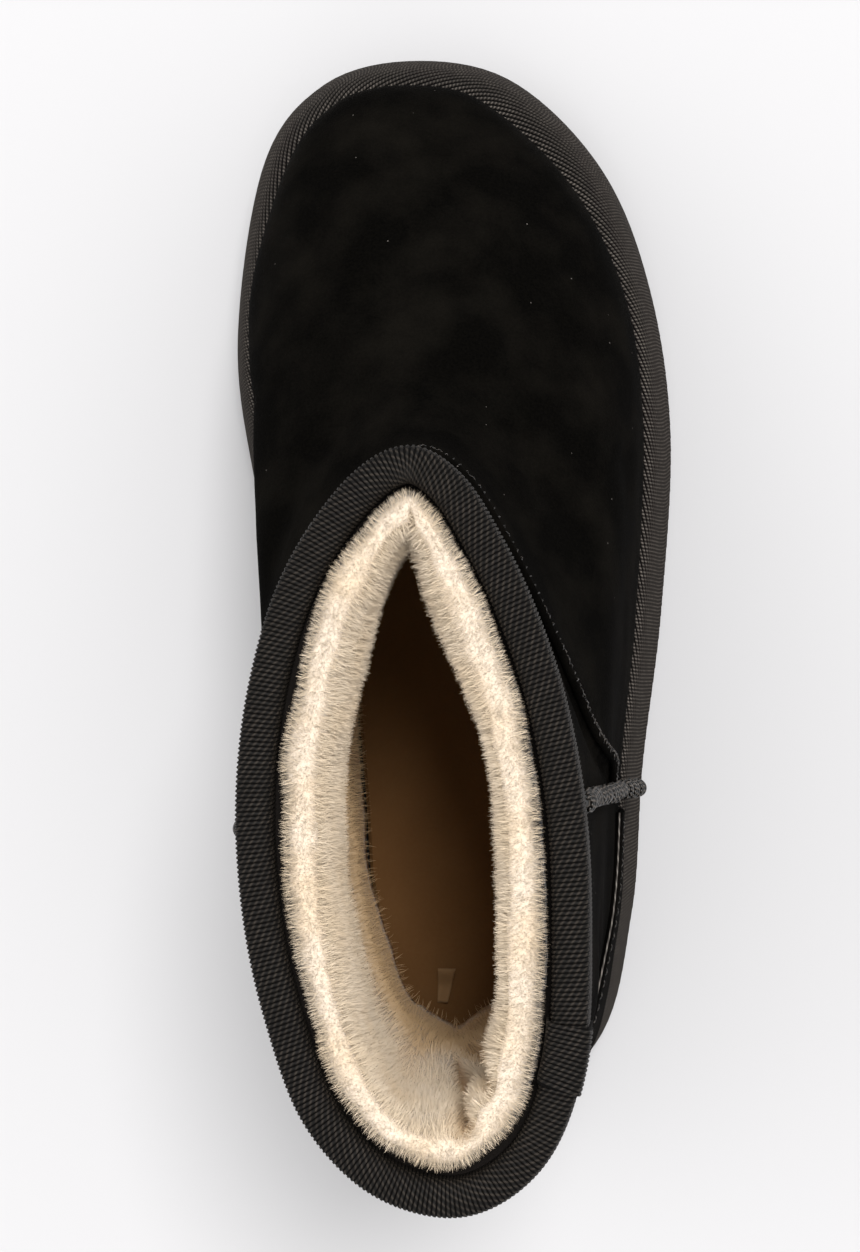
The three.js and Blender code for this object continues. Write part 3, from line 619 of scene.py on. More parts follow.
def grainMaterial(name, colour, worn, cloud, grain, contrast, lift, lint=None, **fixed):
    material, tree, shader = finish(name, **fixed)
    made = grouped(tree, grainGroup, {
        "Colour": colour, "Worn colour": worn, "Cloud size": cloud, "Grain size": grain,
        "Contrast": contrast})
    colourNow = made["Colour"]
    if lint:
        colourNow = grouped(tree, lintGroup, dict(lint, Colour=colourNow))["Colour"]
    tree.links.new(colourNow, shader.inputs["Base Color"])
    bumped(tree, shader, made["Height"], 0.6, lift)
    return material


def yarnMaterial(name, colour, lit, pitch, lift, fade=1.0, **fixed):
    material, tree, shader = finish(name, **fixed)
    made = grouped(tree, twistGroup, {
        "Pitch": pitch, "Colour": colour, "Lit colour": lit, "Fade after": fade})
    tree.links.new(made["Colour"], shader.inputs["Base Color"])
    bumped(tree, shader, made["Height"], 0.8, lift)
    return material


# Each with its colour, its worn colour, then cloud size, grain size, contrast and relief
suedeLook = grainMaterial(
    "blackSuede", tone(2, 2, 2), tone(19, 17, 14), 0.016, 0.0006, 2.6, 0.0004,
    {"Lint colour": tone(95, 90, 86), "Speck size": 0.00018, "Spacing": 0.0045},
    Roughness=0.95, Specular_IOR_Level=0.01, Sheen_Weight=0.015, Sheen_Roughness=0.4,
    Sheen_Tint=tone(90, 86, 84))
# Painted shade: the ground between the ribs is much darker than their yarn
shadedTapeGround = grainMaterial(
    "shadedTapeGround", tone(5, 4, 4), tone(10, 9, 8), 0.01, 0.0003, 1.0, 0.0002,
    Roughness=0.9, Specular_IOR_Level=0.1)
# Yarns have their colour, their lit colour as a painted highlight, then the twist's pitch, relief and
# where the highlight fades
tapeYarn = yarnMaterial(
    "tapeYarn", tone(32, 28, 25), tone(124, 116, 108), 0.00092, 0.0001, 0.007,
    Roughness=0.6, Specular_IOR_Level=0.15)
bindingYarn = yarnMaterial(
    "bindingYarn", tone(16, 14, 12), tone(60, 54, 48), 0.0013, 0.0001,
    Roughness=0.6, Specular_IOR_Level=0.15)
seamYarn = yarnMaterial(
    "seamThread", tone(5, 5, 4), tone(88, 80, 73), 0.0011, 0.0003,
    Roughness=0.3, Specular_IOR_Level=0.4)
# A pale cut edge, partly a painted highlight: a light line where a raised edge catches light
cutEdgeAndHighlight = yarnMaterial(
    "cutEdgeAndHighlight", tone(72, 66, 61), tone(150, 142, 134), 0.003, 0.0001,
    Roughness=0.7, Specular_IOR_Level=0.4)
insoleLook = grainMaterial(
    "insoleLeather", tone(112, 78, 44), tone(124, 90, 54), 0.012, 0.0008, 1.2, 0.00012,
    Roughness=0.7, Specular_IOR_Level=0.08)
outsoleLook = grainMaterial(
    "outsoleRubber", tone(22, 21, 20), tone(36, 34, 32), 0.008, 0.0003, 1.2, 0.0002,
    {"Lint colour": tone(90, 86, 80), "Speck size": 0.0003, "Spacing": 0.005},
    Roughness=0.7, Specular_IOR_Level=0.4)
platformLook = grainMaterial(
    "platformFoam", tone(30, 28, 26), tone(44, 41, 38), 0.006, 0.0006, 1.0, 0.0003,
    Roughness=0.9, Specular_IOR_Level=0.2)
labelLook = grainMaterial(
    "labelCloth", tone(146, 114, 78), tone(160, 128, 90), 0.004, 0.0002, 1.0, 0.0001,
    Roughness=0.8, Specular_IOR_Level=0.2)


# The deep, gap and root tones are painted shade: darker down the wall and in folds, dark in the gap by
# the binding, darker at the strands' roots
fleeceTones = {
    "base": tone(250, 234, 216), "baseWorn": tone(240, 214, 180), "strand": tone(241, 224, 203),
    "strandWorn": tone(232, 205, 169), "strandRootShade": tone(238, 216, 184),
    "deep": tone(222, 184, 134), "gap": tone(20, 15, 11), "ownNormal": 0.2, "upward": 2.2,
}


def fleeceGrain(tree, colour, worn):
    return grouped(tree, grainGroup, {
        "Colour": fleeceTones[colour], "Worn colour": fleeceTones[worn], "Cloud size": 0.011,
        "Grain size": 0.0006, "Contrast": 2.2})


def makeFleeceLook():
    material, tree, shader = finish("fleece", Roughness=0.85, Specular_IOR_Level=0.2,
                                    Sheen_Weight=0.25, Sheen_Roughness=0.4)
    made = fleeceGrain(tree, "base", "baseWorn")
    # Painted shade: darker down the wall and in folds, and near black in the gap by the binding and
    # under it
    depthShaded = mixed(tree, kept(tree, "deep"), made["Colour"], fleeceTones["deep"])
    shaded = mixed(tree, kept(tree, "rootShade"), depthShaded, fleeceTones["gap"])
    tree.links.new(shaded, shader.inputs["Base Color"])
    bumped(tree, shader, made["Height"], 0.7, 0.0006)
    return material


def makeStrandLook():
    material, tree, shader = finish("fleeceStrand", Roughness=0.7, Specular_IOR_Level=0.25)
    made = fleeceGrain(tree, "strand", "strandWorn")
    # Painted shade: the strands are darker at their roots, and darker down the wall and in folds
    tip = math2(tree, "MULTIPLY_ADD", kept(tree, "strandShade"), 0.5,
                math2(tree, "MULTIPLY", kept(tree, "strandAlong"), 0.6), clamp=True)
    root = mixed(tree, tip, fleeceTones["strandRootShade"], made["Colour"])
    depthShaded = mixed(tree, kept(tree, "deep"), root, fleeceTones["deep"])
    tree.links.new(depthShaded, shader.inputs["Base Color"])
    # The pile is lit as a soft whole: its strands take the skin's normal, turned upward
    own = out(node(tree, "ShaderNodeNewGeometry"), "Normal")
    softened = mixed(tree, fleeceTones["ownNormal"], kept(tree, "skinNormal", "Vector"), own,
                     "VECTOR")
    raised = node(tree, "ShaderNodeVectorMath", {0: softened, 1: (0, 0, fleeceTones["upward"])},
                  operation="ADD")
    normal = node(tree, "ShaderNodeVectorMath", {0: out(raised)}, operation="NORMALIZE")
    tree.links.new(out(normal), shader.inputs["Normal"])
    return material


fleeceLook, strandLook = makeFleeceLook(), makeStrandLook()
print("stage: materials made")


def dress(piece, slot, *nodes):  # attaches the piece to the root and hides the CAD parts it stands for
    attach(piece, "root")
    if nodes:
        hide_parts(*nodes)
    return piece


def bumps(points, size, seed=0.0):  # smooth even noise, about -1 to 1, size in millimetres
    flat = points.reshape(-1, 3) / size + seed
    return np.array([noise.noise(Vector(p)) for p in flat.tolist()]).reshape(points.shape[:-1])


# The side seams' and the vamp seam's paths

seams = {
    "outerFromHeel": 87.5, "innerFromHeel": 82.5, "bindingLeg": 10, "sideSteps": 160,
    "coreRadius": 1.35, "coreRise": 1.1, "endRise": {1: 4.2, -1: 0.9},
    "wrapRadius": 0.4, "wrapPitch": 1.9, "wrapLoose": 0.45, "wrapSteps": 12,
    "vampFoot": 74, "vampCrown": 134, "vampRise": [0, 0.6, 0.95, 1, 0.87, 0.66, 0.49, 0.35, 0],
    "vampSteps": 241, "ridgeRadius": 0.95, "ridgeHeight": 0.75,
    "edgeRadius": 0.21, "edgeHeight": 1.25, "edgeOut": 0.95,
    "stitchPitch": 1.9, "stitchRadius": 0.13, "knotThick": 2.6,
}


def seamY(side):  # where a side seam stands, from the middle of the sole
    return (seams["outerFromHeel"] if side > 0 else seams["innerFromHeel"]) - halfLength


def sideTurn(side, level):  # where a side seam stands on the upper at a level
    level = np.asarray(level, float)
    return solveFor(lambda turn: suedePoint(level, turn)[..., 1], seamY(side),
                    np.full(level.shape, side * 0.1), np.full(level.shape, side * 0.5))


def sideTurnAtHeight(side, height):
    level = solveFor(lambda l: suedePoint(l, sideTurn(side, l))[..., 2], height, 0.0, np.ones(1))
    return float(sideTurn(side, level)[0])


def vampPath(share):
    start = sideTurnAtHeight(1, seams["vampFoot"])
    end = sideTurnAtHeight(-1, seams["vampFoot"])
    turn = mix(start, end, share)
    rise = curveValue(seams["vampRise"], share)
    return levelAt(turn, mix(seams["vampFoot"], seams["vampCrown"], rise)), turn


vampShares = np.linspace(0, 1, seams["vampSteps"])
vampLevels, vampTurns = vampPath(vampShares)


# The upper: a fine suede shell, its creases placed one by one

upperLook = {
    "levels": 132, "turns": 250, "innerLevels": 18, "unevenness": 0.12,
    # Soft troughs and ridges: (level, turn) along each, then its height and width in mm
    "creases": {
        "throat, outer": ([(0.60, 0.20), (0.635, 0.13), (0.65, 0.05)], -1.0, 5),
        "throat, inner": ([(0.62, -0.20), (0.64, -0.12), (0.655, -0.04)], -1.0, 5),
        "instep roll": ([(0.54, 0.14), (0.565, 0.0), (0.55, -0.13)], 0.7, 6),
        "vamp dent": ([(0.50, 0.015), (0.40, 0.03), (0.30, 0.01)], -0.9, 7),
        "vamp ridge": ([(0.50, -0.06), (0.40, -0.05), (0.31, -0.035)], 0.6, 6),
        "vamp hollow": ([(0.47, 0.11), (0.38, 0.10)], -0.5, 8),
        "outer ankle": ([(0.66, 0.345), (0.60, 0.40), (0.58, 0.46)], -1.0, 4.5),
        "outer ankle roll": ([(0.75, 0.35), (0.70, 0.40), (0.68, 0.47)], 0.7, 5),
        "inner ankle": ([(0.67, 0.66), (0.61, 0.60), (0.59, 0.54)], -1.0, 4.5),
        "inner ankle roll": ([(0.76, 0.65), (0.71, 0.60), (0.69, 0.53)], 0.7, 5),
        "inner waist": ([(0.30, 0.80), (0.36, 0.84)], -0.7, 6),
        "outer waist": ([(0.30, 0.24), (0.37, 0.21)], -0.6, 6),
        "heel": ([(0.30, 0.47), (0.28, 0.53)], -0.5, 6),
    },
    # Beside the vamp seam: away from it up the shaft, height and width in mm
    "seamValley": (2.9, -1.5, 2.2), "seamLip": (-0.9, 0.5, 1.3),
}


def alongLine(points, line, fade, height, width):  # a soft ridge that follows a line
    away = np.linalg.norm(points[..., None, :] - line, axis=-1)
    return height * fade[away.argmin(-1)] * np.exp(-((away.min(-1) / width) ** 2))


def creaseHeight(points):
    height = np.zeros(points.shape[:-1])
    share = np.linspace(0, 1, 28)
    fade = ease(np.minimum(share, 1 - share) / 0.3 + 0.15)
    for path, depth, width in upperLook["creases"].values():
        row = np.array(path)
        line = suedePoint(curveValue(row[:, 0], share), curveValue(row[:, 1], share))
        height += alongLine(points, line, fade, depth, width)
    return height


def seamRelief(points):  # a valley on the shaft's side of the vamp seam, a lip on the toe's
    height = np.zeros(points.shape[:-1])
    turns, heights = vampTurns[::3], suedePoint(vampLevels[::3], vampTurns[::3])[:, 2]
    fade = ease(np.minimum(vampShares, 1 - vampShares) / 0.04 + 0.2)[::3]
    for name in ("seamValley", "seamLip"):
        away, depth, width = upperLook[name]
        line = suedePoint(levelAt(turns, heights + away), turns)
        height += alongLine(points, line, fade, depth, width)
    return height


upperTurns = crowdedTurns(upperLook["turns"])
upperLevels = np.linspace(0, 1, upperLook["levels"])
upperFace = suedePoint(upperLevels[:, None], upperTurns[None, :])
upperLift = creaseHeight(upperFace) + upperLook["unevenness"] * bumps(upperFace, 9)
upperLift = upperLift + seamRelief(upperFace)
upperLift *= ease(upperLevels / 0.06)[:, None] * ease((1 - upperLevels) / 0.05)[:, None]
upperOut = onSuede(upperLevels[:, None], upperTurns[None, :], upperLift)
innerLevels = np.linspace(1, 0, upperLook["innerLevels"])
upperIn = onSuede(innerLevels[:, None], upperTurns[None, :], np.full((1, 1), -upperForm["suedeWall"]))
upper = ringPiece("suede_upper", [*upperOut, *upperIn], suedeLook)
dress(upper, "suede", "upper")
print("stage: upper made")


# The tape round the platform: a ground darkened with painted shade, and slanted ribs of looped yarn

tape = {"around": 320, "rows": 18, "ribPitch": 3.2, "ribRadius": 0.38, "ribProud": 0.02,
        "slant": 2.5, "ribSteps": 30, "wallTurns": 360, "wallHeights": 140, "wallParts": 60}


def evenWall():  # shares of the wall's height, evenly spaced along its face
    turn = np.linspace(0, 1, tape["wallTurns"] + 1)
    share = 1 - (1 - np.linspace(0, 1, tape["wallHeights"])) ** 3
    run = np.array([runLength(line) for line in wallPoint(turn[:, None], share[None, :])])
    part = np.linspace(0, 1, tape["wallParts"])
    even = np.array([np.interp(part * row[-1], row, share) for row in run])
    return turn, even, run[:, -1], runLength(wallPoint(turn, np.full(len(turn), 0.5)))


wallTurn, wallEven, wallLength, wallArc = evenWall()


def wallShare(turn, part):  # part 0 over the outsole, 1 at the upper, measured along the face
    turns, parts = tape["wallTurns"], tape["wallParts"] - 1
    a, b = (turn % 1) * turns, np.clip(part, 0, 1) * parts
    i, j = np.minimum(a.astype(int), turns - 1), np.minimum(b.astype(int), parts - 1)
    low = mix(wallEven[i, j], wallEven[i, j + 1], b - j)
    return mix(low, mix(wallEven[i + 1, j], wallEven[i + 1, j + 1], b - j), a - i)


def tapeRibs():
    count = int(round(wallArc[-1] / tape["ribPitch"]))
    part = np.linspace(0.995, 0.01, tape["ribSteps"])
    lines = []
    for i in range(count):
        start = i * wallArc[-1] / count
        turn = np.full(len(part), np.interp(start, wallArc, wallTurn))
        for _ in range(3):
            run = (1 - part) * np.interp(turn % 1, wallTurn, wallLength)
            turn = np.interp((start + tape["slant"] * run) % wallArc[-1], wallArc, wallTurn)
        lines.append(wallPoint(turn, wallShare(turn, part), -tape["ribProud"]))
    return lines


def tapeRing(part, depth=0.0):
    turns = crowdedTurns(tape["around"])
    return wallPoint(turns, wallShare(turns, np.full(tape["around"], part)), depth)


tapeParts = np.linspace(0, 1, tape["rows"])
tapeRings = [tapeRing(p) for p in tapeParts]
tapeRings += [tapeRing(p, last["tapeThickness"]) for p in tapeParts[::-1]]
dress(ringPiece("tape_ground", tapeRings, shadedTapeGround), "ribbed_tape", "sole_tape")
tapeLines = tapeRibs()
dress(yarnPiece("tape_ribs", tapeLines, tape["ribRadius"], 5, tapeYarn), "ribbed_tape")
print("stage: tape made,", len(tapeLines), "ribs")


# The binding over the collar, its ribs across it and its lapped end

binding = {"outerLeg": 10, "innerLeg": 5.5, "round": 1.5, "thickness": 0.9, "backing": 2.2,
           "outerSteps": [-7, -4], "innerStep": -3.5, "around": 260, "rows": 26,
           "ribPitch": 0.88, "ribRadius": 0.36, "ribSteps": 15, "ribProud": -0.02,
           "lapFromBack": 22, "lap": 12, "lapStep": 0.7, "lapUnder": -0.1}
hideFace = upperForm["suedeWall"] + gap
bindingInside = hideFace + binding["backing"] + gap + binding["thickness"]
bindingOutside = gap + binding["thickness"]
bindingTop = gap + binding["thickness"]


def bindingSection(lift, share):  # out and up, at a share of the way over from outside to inside
    r, low, high = binding["round"], bindingOutside + lift, -bindingInside - lift
    top = bindingTop + lift
    outs = [low, low, low, low, low - 0.4 * r, (low + high) / 2, high + 0.4 * r, high, high, high]
    ups = [-binding["outerLeg"], *binding["outerSteps"], -r, top - 0.3 * r, top,
           top - 0.3 * r, -r, binding["innerStep"], -binding["innerLeg"]]
    return curveValue(outs, share), curveValue(ups, share)


def bindingFace(turn, share, lift=0.0):
    return collarPoint(turn, *bindingSection(lift, share))


bindingTurns = np.arange(binding["around"]) / binding["around"]
bindingShares = np.linspace(0, 1, binding["rows"])
bandRings = [bindingFace(bindingTurns, s) for s in bindingShares]
bandRings += [bindingFace(bindingTurns, s, -binding["thickness"]) for s in bindingShares[::-1]]
dress(ringPiece("binding_ground", bandRings, shadedTapeGround), "ribbed_binding", "collar_binding")


def lapTurn(distance):
    turn = solveFor(lambda t: suedePoint(1, t)[..., 1], collarBack + distance,
                    np.full(1, 0.1), np.full(1, 0.5))
    return float(turn[0])


def bindingRibs(fromTurn, toTurn, lift, fan):
    dense = np.linspace(fromTurn, toTurn, 400)
    arc = runLength(bindingFace(dense, 0.5, lift))
    count = int(round(arc[-1] / binding["ribPitch"]))
    share = np.linspace(0.0, 1.0, binding["ribSteps"])
    swing = fan * (share - 0.5) * 0.004
    turns = [np.interp((i + 0.5) * arc[-1] / count, arc, dense) for i in range(count)]
    return [bindingFace(turn + swing, share, lift + binding["ribProud"]) for turn in turns]


lapStart, lapEnd = lapTurn(binding["lapFromBack"] + binding["lap"]), lapTurn(binding["lapFromBack"])
bindingLines = bindingRibs(0, 1, 0.0, 1.0) + bindingRibs(lapStart, lapEnd, binding["lapStep"], -2.0)
dress(yarnPiece("binding_ribs", bindingLines, binding["ribRadius"], 5, bindingYarn), "ribbed_binding")
lapOuter, lapInner = (
    bindingFace(np.linspace(lapStart, lapEnd, 14)[:, None], np.linspace(0, 1, 24)[None, :], lift)
    for lift in (binding["lapStep"], binding["lapUnder"]))
dress(patchPiece("binding_lap", lapOuter, lapInner, shadedTapeGround), "ribbed_binding")
print("stage: binding made")


# Seams: thread-wrapped cords down the sides, cross stitches along the vamp

def acrossLine(places, normals):
    return unit(np.cross(normals, unit(np.gradient(places, axis=0))))


def wrappedSeam(name, side):
    count, wall = seams["sideSteps"], float(edgeTop(np.array(seamY(side))))
    top = suedeTop - upperForm["collarSlope"] / 2 - seams["bindingLeg"] - gap
    heights = np.linspace(top, wall + 1.2, count)
    levels = solveFor(lambda l: suedePoint(l, sideTurn(side, l))[..., 2], heights, 0.0, np.ones(count))
    turns = sideTurn(side, levels)
    normals = suedeNormal(levels, turns)
    share = np.linspace(0, 1, count)
    rise = seams["coreRise"] + seams["endRise"][side] * ease((share - 0.55) / 0.45) ** 2
    rise = rise + 0.12 * np.sin(share * 40)
    core = suedePoint(levels, turns) + normals * rise[:, None]
    run = runLength(core)
    nearEnd = np.minimum(1, (np.minimum(run, run[-1] - run) + 0.3) / 1.6)
    ends = np.sqrt(np.clip(1 - (1 - nearEnd) ** 2, 0, 1))
    lines, thick = [core], [ends * seams["coreRadius"] / seams["wrapRadius"]]
    at = np.linspace(0, run[-1], int(run[-1] / seams["wrapPitch"] * seams["wrapSteps"]))
    middle, n, c = (alongRun(at, run, rows) for rows in (core, normals, acrossLine(core, normals)))
    for strand in (0.0, math.pi):
        angle = at / seams["wrapPitch"] * math.pi + strand
        loose = 0.5 + 0.5 * np.sin(np.floor(angle / math.pi) * 2.4 + strand)
        reach = np.interp(at, run, ends) * (seams["coreRadius"] + 0.05 + seams["wrapLoose"] * loose)
        turned = n * np.sin(angle)[:, None] + c * np.cos(angle)[:, None]
        lines.append(middle + turned * reach[:, None])
        thick.append(np.ones(len(at)))
    return yarnPiece(name, lines, seams["wrapRadius"], 6, seamYarn, thick)


dress(wrappedSeam("outer_side_seam", 1), "seam_thread", "side_seam_outer")
dress(wrappedSeam("inner_side_seam", -1), "seam_thread", "side_seam_inner")


def vampSeam():
    normals = suedeNormal(vampLevels, vampTurns)
    middle = suedePoint(vampLevels, vampTurns)
    across = acrossLine(middle, normals)
    if across[len(across) // 2, 2] > 0:
        across = -across  # towards the toe's side
    run = runLength(middle)
    ends = [ease(np.minimum(run, run[-1] - run) / 3 + 0.3)]
    ridge = yarnPiece("vamp_seam_ridge", [middle + normals * seams["ridgeHeight"]],
                      seams["ridgeRadius"], 10, suedeLook, ends)
    # The pale line along the ridge's top edge is partly a painted highlight
    rim = middle + normals * seams["edgeHeight"] + across * seams["edgeOut"]
    edge = yarnPiece("vamp_seam_edge", [rim], seams["edgeRadius"], 6, cutEdgeAndHighlight, ends)
    lines, thick = [], []

    def thread(shape, start, slant):  # (across, up) along one thread that lies over the ridge
        points = []
        for side, up in shape:
            at = start + slant * side
            place, aside, high = (alongRun(at, run, v) for v in (middle, across, normals))
            points.append(place + aside * side + high * up)
        lines.append(np.array(points))
    for i, start in enumerate(np.arange(1.5, run[-1] - 1, seams["stitchPitch"])):
        begin = -0.5 + 0.6 * math.sin(i * 2.7)
        thread([(begin, 1.65), (0.3, 1.85), (0.9, 1.6), (1.3, 1.0), (1.5, 0.4)], start,
               0.5 * math.sin(i * 5.3))
        thick.append(np.array([0.6, 1, 1.1, 1, 0.6]) * (0.8 + 0.5 * math.sin(i * 3.9) ** 2))
    for start in (0.2, 0.8, 1.4):  # the knot at the outer end
        thread([(-1.6, 0.2), (-1.0, 1.6), (0, 2.2 - 0.3 * start), (1.0, 1.5), (1.7, 0.1)], start, 0.2)
        thick.append(np.full(5, seams["knotThick"]))
    return ridge, edge, yarnPiece("vamp_seam_stitches", lines, seams["stitchRadius"], 6, seamYarn, thick)


seamRidge, seamEdge, seamStitches = vampSeam()
dress(seamRidge, "suede", "vamp_seam")
dress(seamEdge, "suede")
dress(seamStitches, "seam_thread")
print("stage: seams made")


# The heel counter: a suede overlay with a pale cut edge, partly a painted highlight, and a row of
# stitches under it

counter = {"thickness": 1.2, "front": 56, "back": 90, "fromSeam": 0.008, "steps": 140, "rows": 16,
           "edgeRadius": 0.2, "edgeHeight": 0.85, "under": 0.05, "stitchFromEdge": 2.4,
           "stitchLength": 2.0, "stitchGap": 0.9, "stitchThick": 0.7}


def counterTop(share):
    return mix(counter["front"], counter["back"], ease(1 - np.abs(2 * share - 1)))


def makeCounter():
    start = sideTurnAtHeight(1, counter["front"]) + counter["fromSeam"]
    end = 1 + sideTurnAtHeight(-1, counter["front"]) - counter["fromSeam"]
    share = np.linspace(0, 1, counter["steps"])
    turn = mix(start, end, share)
    foot = edgeTop(suedePoint(0, turn)[:, 1]) + gap + counter["thickness"]
    rows = np.linspace(0, 1, counter["rows"]) ** 0.8
    height = mix(foot[:, None], counterTop(share)[:, None], rows[None, :])
    level = levelAt(np.repeat(turn[:, None], len(rows), 1), height)
    face = np.full(height.shape, gap + counter["thickness"])
    face *= np.clip(1.25 - 0.5 * rows ** 14, 0, 1)[None, :]
    uneven = 0.1 * bumps(suedePoint(level, turn[:, None]), 7, 5.0)
    outer = onSuede(level, turn[:, None], face + uneven)
    inner = onSuede(level, turn[:, None], np.full(height.shape, counter["under"]))
    edge = onSuede(level[:, -1], turn, np.full(len(turn), counter["edgeHeight"]))
    stitchLevel = levelAt(turn, counterTop(share) - counter["stitchFromEdge"])
    row = onSuede(stitchLevel, turn, np.full(len(turn), gap + counter["thickness"] + 0.05))
    run = runLength(row)
    lines, at = [], 2.0
    while at < run[-1] - 3:
        s = at + np.array([0, 0.2, 0.5, 0.8, 1]) * counter["stitchLength"]
        normal = suedeNormal(np.interp(s, run, stitchLevel), np.interp(s, run, turn))
        sunk = np.array([-0.3, 0.1, 0.2, 0.1, -0.3])[:, None]
        lines.append(alongRun(s, run, row) + normal * sunk)
        at += counter["stitchLength"] + counter["stitchGap"]
    thick = [np.full(5, counter["stitchThick"])] * len(lines)
    dress(patchPiece("heel_counter_suede", outer, inner, suedeLook), "suede", "heel_counter")
    dress(yarnPiece("counter_edge", [edge], counter["edgeRadius"], 6, cutEdgeAndHighlight), "suede")
    dress(yarnPiece("counter_stitches", lines, counter["edgeRadius"], 6, seamYarn, thick), "seam_thread")


makeCounter()
print("stage: counter made")


# The fur lining: a soft base in the CAD pile's place, and strands grown from it

fur = {
    "backing": 2.2, "thickness": 12, "toePile": 5, "heelPile": 11, "shaftFrom": 0.55,
    "shaftBlend": 0.2, "around": 230, "rimRows": 30, "wallRows": 54, "sink": 2.0,
    "inward": [0.1, 0.3, 0.52, 0.78, 1], "under": [0.66, 0.2, 0.06, 0.2, 1],
    "levels": [0.86, 0.74, 0.62, 0.46, 0.3, 0.14, 0.01], "thick": [1, 0.85, 0.6, 0.25, 0, 0, 0],
    "lumps": 0.9, "lumpSize": 11, "tufts": 0.45, "tuftSize": 3.2,
    # Fuller places: turn, spread, height, the row where each begins and over how many it rises
    "swells": [(0.5, 0.09, 10, 0.65, 1.5), (0.11, 0.1, 4.6, 0.5, 0.55), (-0.13, 0.08, 2.4, 0.5, 0.55)],
    "footSwell": 1.8,
    # Folds of the pile: the turn they lie at, and the row from the binding where they begin
    "folds": [
        {"turn": -0.004, "lean": 0.02, "depth": 2.2, "width": 0.008, "from": 0.45},
        {"turn": 0.508, "lean": -0.034, "depth": 5.5, "width": 0.012, "from": 0.45},
        {"turn": 0.47, "lean": -0.04, "depth": 3.8, "width": 0.011, "from": 0.65},
        {"turn": 0.566, "lean": 0.0, "depth": 1.6, "width": 0.022, "from": 0.9},
    ],
}
pileFace = hideFace + fur["backing"]
pileStart = bindingInside + gap  # pileFace is the hide's inner face, pileStart clears the binding


def pilePoint(level, turn, deep):
    level, turn, deep = np.broadcast_arrays(*(np.asarray(v, float) for v in (level, turn, deep)))
    begin = np.full(level.shape, -pileStart)
    p = onSuede(level, turn, begin)
    front, back, outer, inner = (
        onSuede(level, np.full(level.shape, t), begin) for t in (0, 0.5, 0.28, 0.78))
    more = 2 * (deep - pileStart)
    x = p[..., 0] - more * (p[..., 0] - (outer + inner)[..., 0] / 2) / (outer - inner)[..., 0]
    y = p[..., 1] - more * (p[..., 1] - (front + back)[..., 1] / 2) / (front - back)[..., 1]
    drawn = np.stack([x, y, p[..., 2]], -1)
    follow = onSuede(level, turn, -deep)
    return mix(follow, drawn, ease((level - fur["shaftFrom"]) / fur["shaftBlend"])[..., None])


def rimPoint(place, turn):
    deep = pileStart + curveValue(fur["inward"], place) * (pileFace + fur["thickness"] - pileStart)
    up = bindingTop - curveValue(fur["under"], place) * fur["thickness"]
    level = np.where(up >= 0, 1.0, levelAt(turn, suedePoint(1, turn)[..., 2] + np.minimum(up, 0)))
    p = pilePoint(level, turn, deep)
    p[..., 2] += np.maximum(up, 0)
    return p


def wallInside(level, turn, thick):
    toe = ease(suedePoint(level, turn)[..., 1] / last["soleLength"] + 0.9)
    deep = pileFace + mix(mix(fur["heelPile"], fur["toePile"], toe), fur["thickness"], thick)
    return pilePoint(level, turn, deep + fur["footSwell"] * ease((0.34 - level) / 0.2))


def everyTurn(value):
    return np.full(fur["around"], value)


furTurns = np.arange(fur["around"]) / fur["around"]
rimPlaces = np.linspace(0, 1, fur["rimRows"])
wallShares = np.linspace(0, 1, fur["wallRows"])
pile = np.stack([rimPoint(everyTurn(place), furTurns) for place in rimPlaces] + [
    wallInside(everyTurn(curveValue(fur["levels"], s)), furTurns, curveValue(fur["thick"], s))
    for s in wallShares])
rowsAlong = np.concatenate([rimPlaces, 1 + wallShares * 3])  # 0 at the binding, 1 past the rim


def gridNormals(points):
    across = np.roll(points, -1, axis=1) - np.roll(points, 1, axis=1)
    return unit(np.cross(np.gradient(points, axis=0), across))


pileNormal = gridNormals(pile)
if pileNormal[4, 0, 2] < 0:
    pileNormal = -pileNormal
foldDepth = np.zeros(pile.shape[:2])
for fold in fur["folds"]:
    lies = fold["turn"] + fold["lean"] * ease(1.25 - rowsAlong / 1.8)
    away = (furTurns[None, :] - lies[:, None] + 0.5) % 1 - 0.5
    reach = ease((rowsAlong - fold["from"]) / 0.5 + 0.3) * ease((2.6 - rowsAlong) / 0.6)
    foldDepth += fold["depth"] * reach[:, None] * np.exp(-((away / fold["width"]) ** 2))
lump = fur["lumps"] * bumps(pile, fur["lumpSize"]) + fur["tufts"] * bumps(pile, fur["tuftSize"], 9.0)
sink = fur["sink"] * ease((rowsAlong - 0.6) / 0.4)[:, None]
for turn, spread, high, start, over in fur["swells"]:
    away = (furTurns - turn + 0.5) % 1 - 0.5
    rises = high * ease((rowsAlong - start) / over)[:, None]
    lump = lump + rises * np.exp(-((away / spread) ** 2))[None, :]
base = pile + pileNormal * (lump - foldDepth - sink)[..., None]
base = np.concatenate([pile[:1], base[1:]])
comb = unit(np.gradient(base, axis=0))
under = -binding["innerLeg"] - gap
outerLevels = np.concatenate([[fur["levels"][-1]], np.linspace(0.08, 1, 11)])
hidden = [onSuede(everyTurn(l), furTurns, everyTurn(-hideFace)) for l in outerLevels]
hidden += [collarPoint(furTurns, -pileFace, 0), collarPoint(furTurns, -pileFace, under),
           collarPoint(furTurns, -pileStart, under)]
folded = np.clip(foldDepth / 4, 0, 1)
# Painted shade: the pile is coloured darker down the wall and in its folds, where shade falls
paintedDepthShade = np.clip(ease((rowsAlong - 1.2) / 1.6)[:, None] * 0.9 + 0.8 * folded, 0, 1)
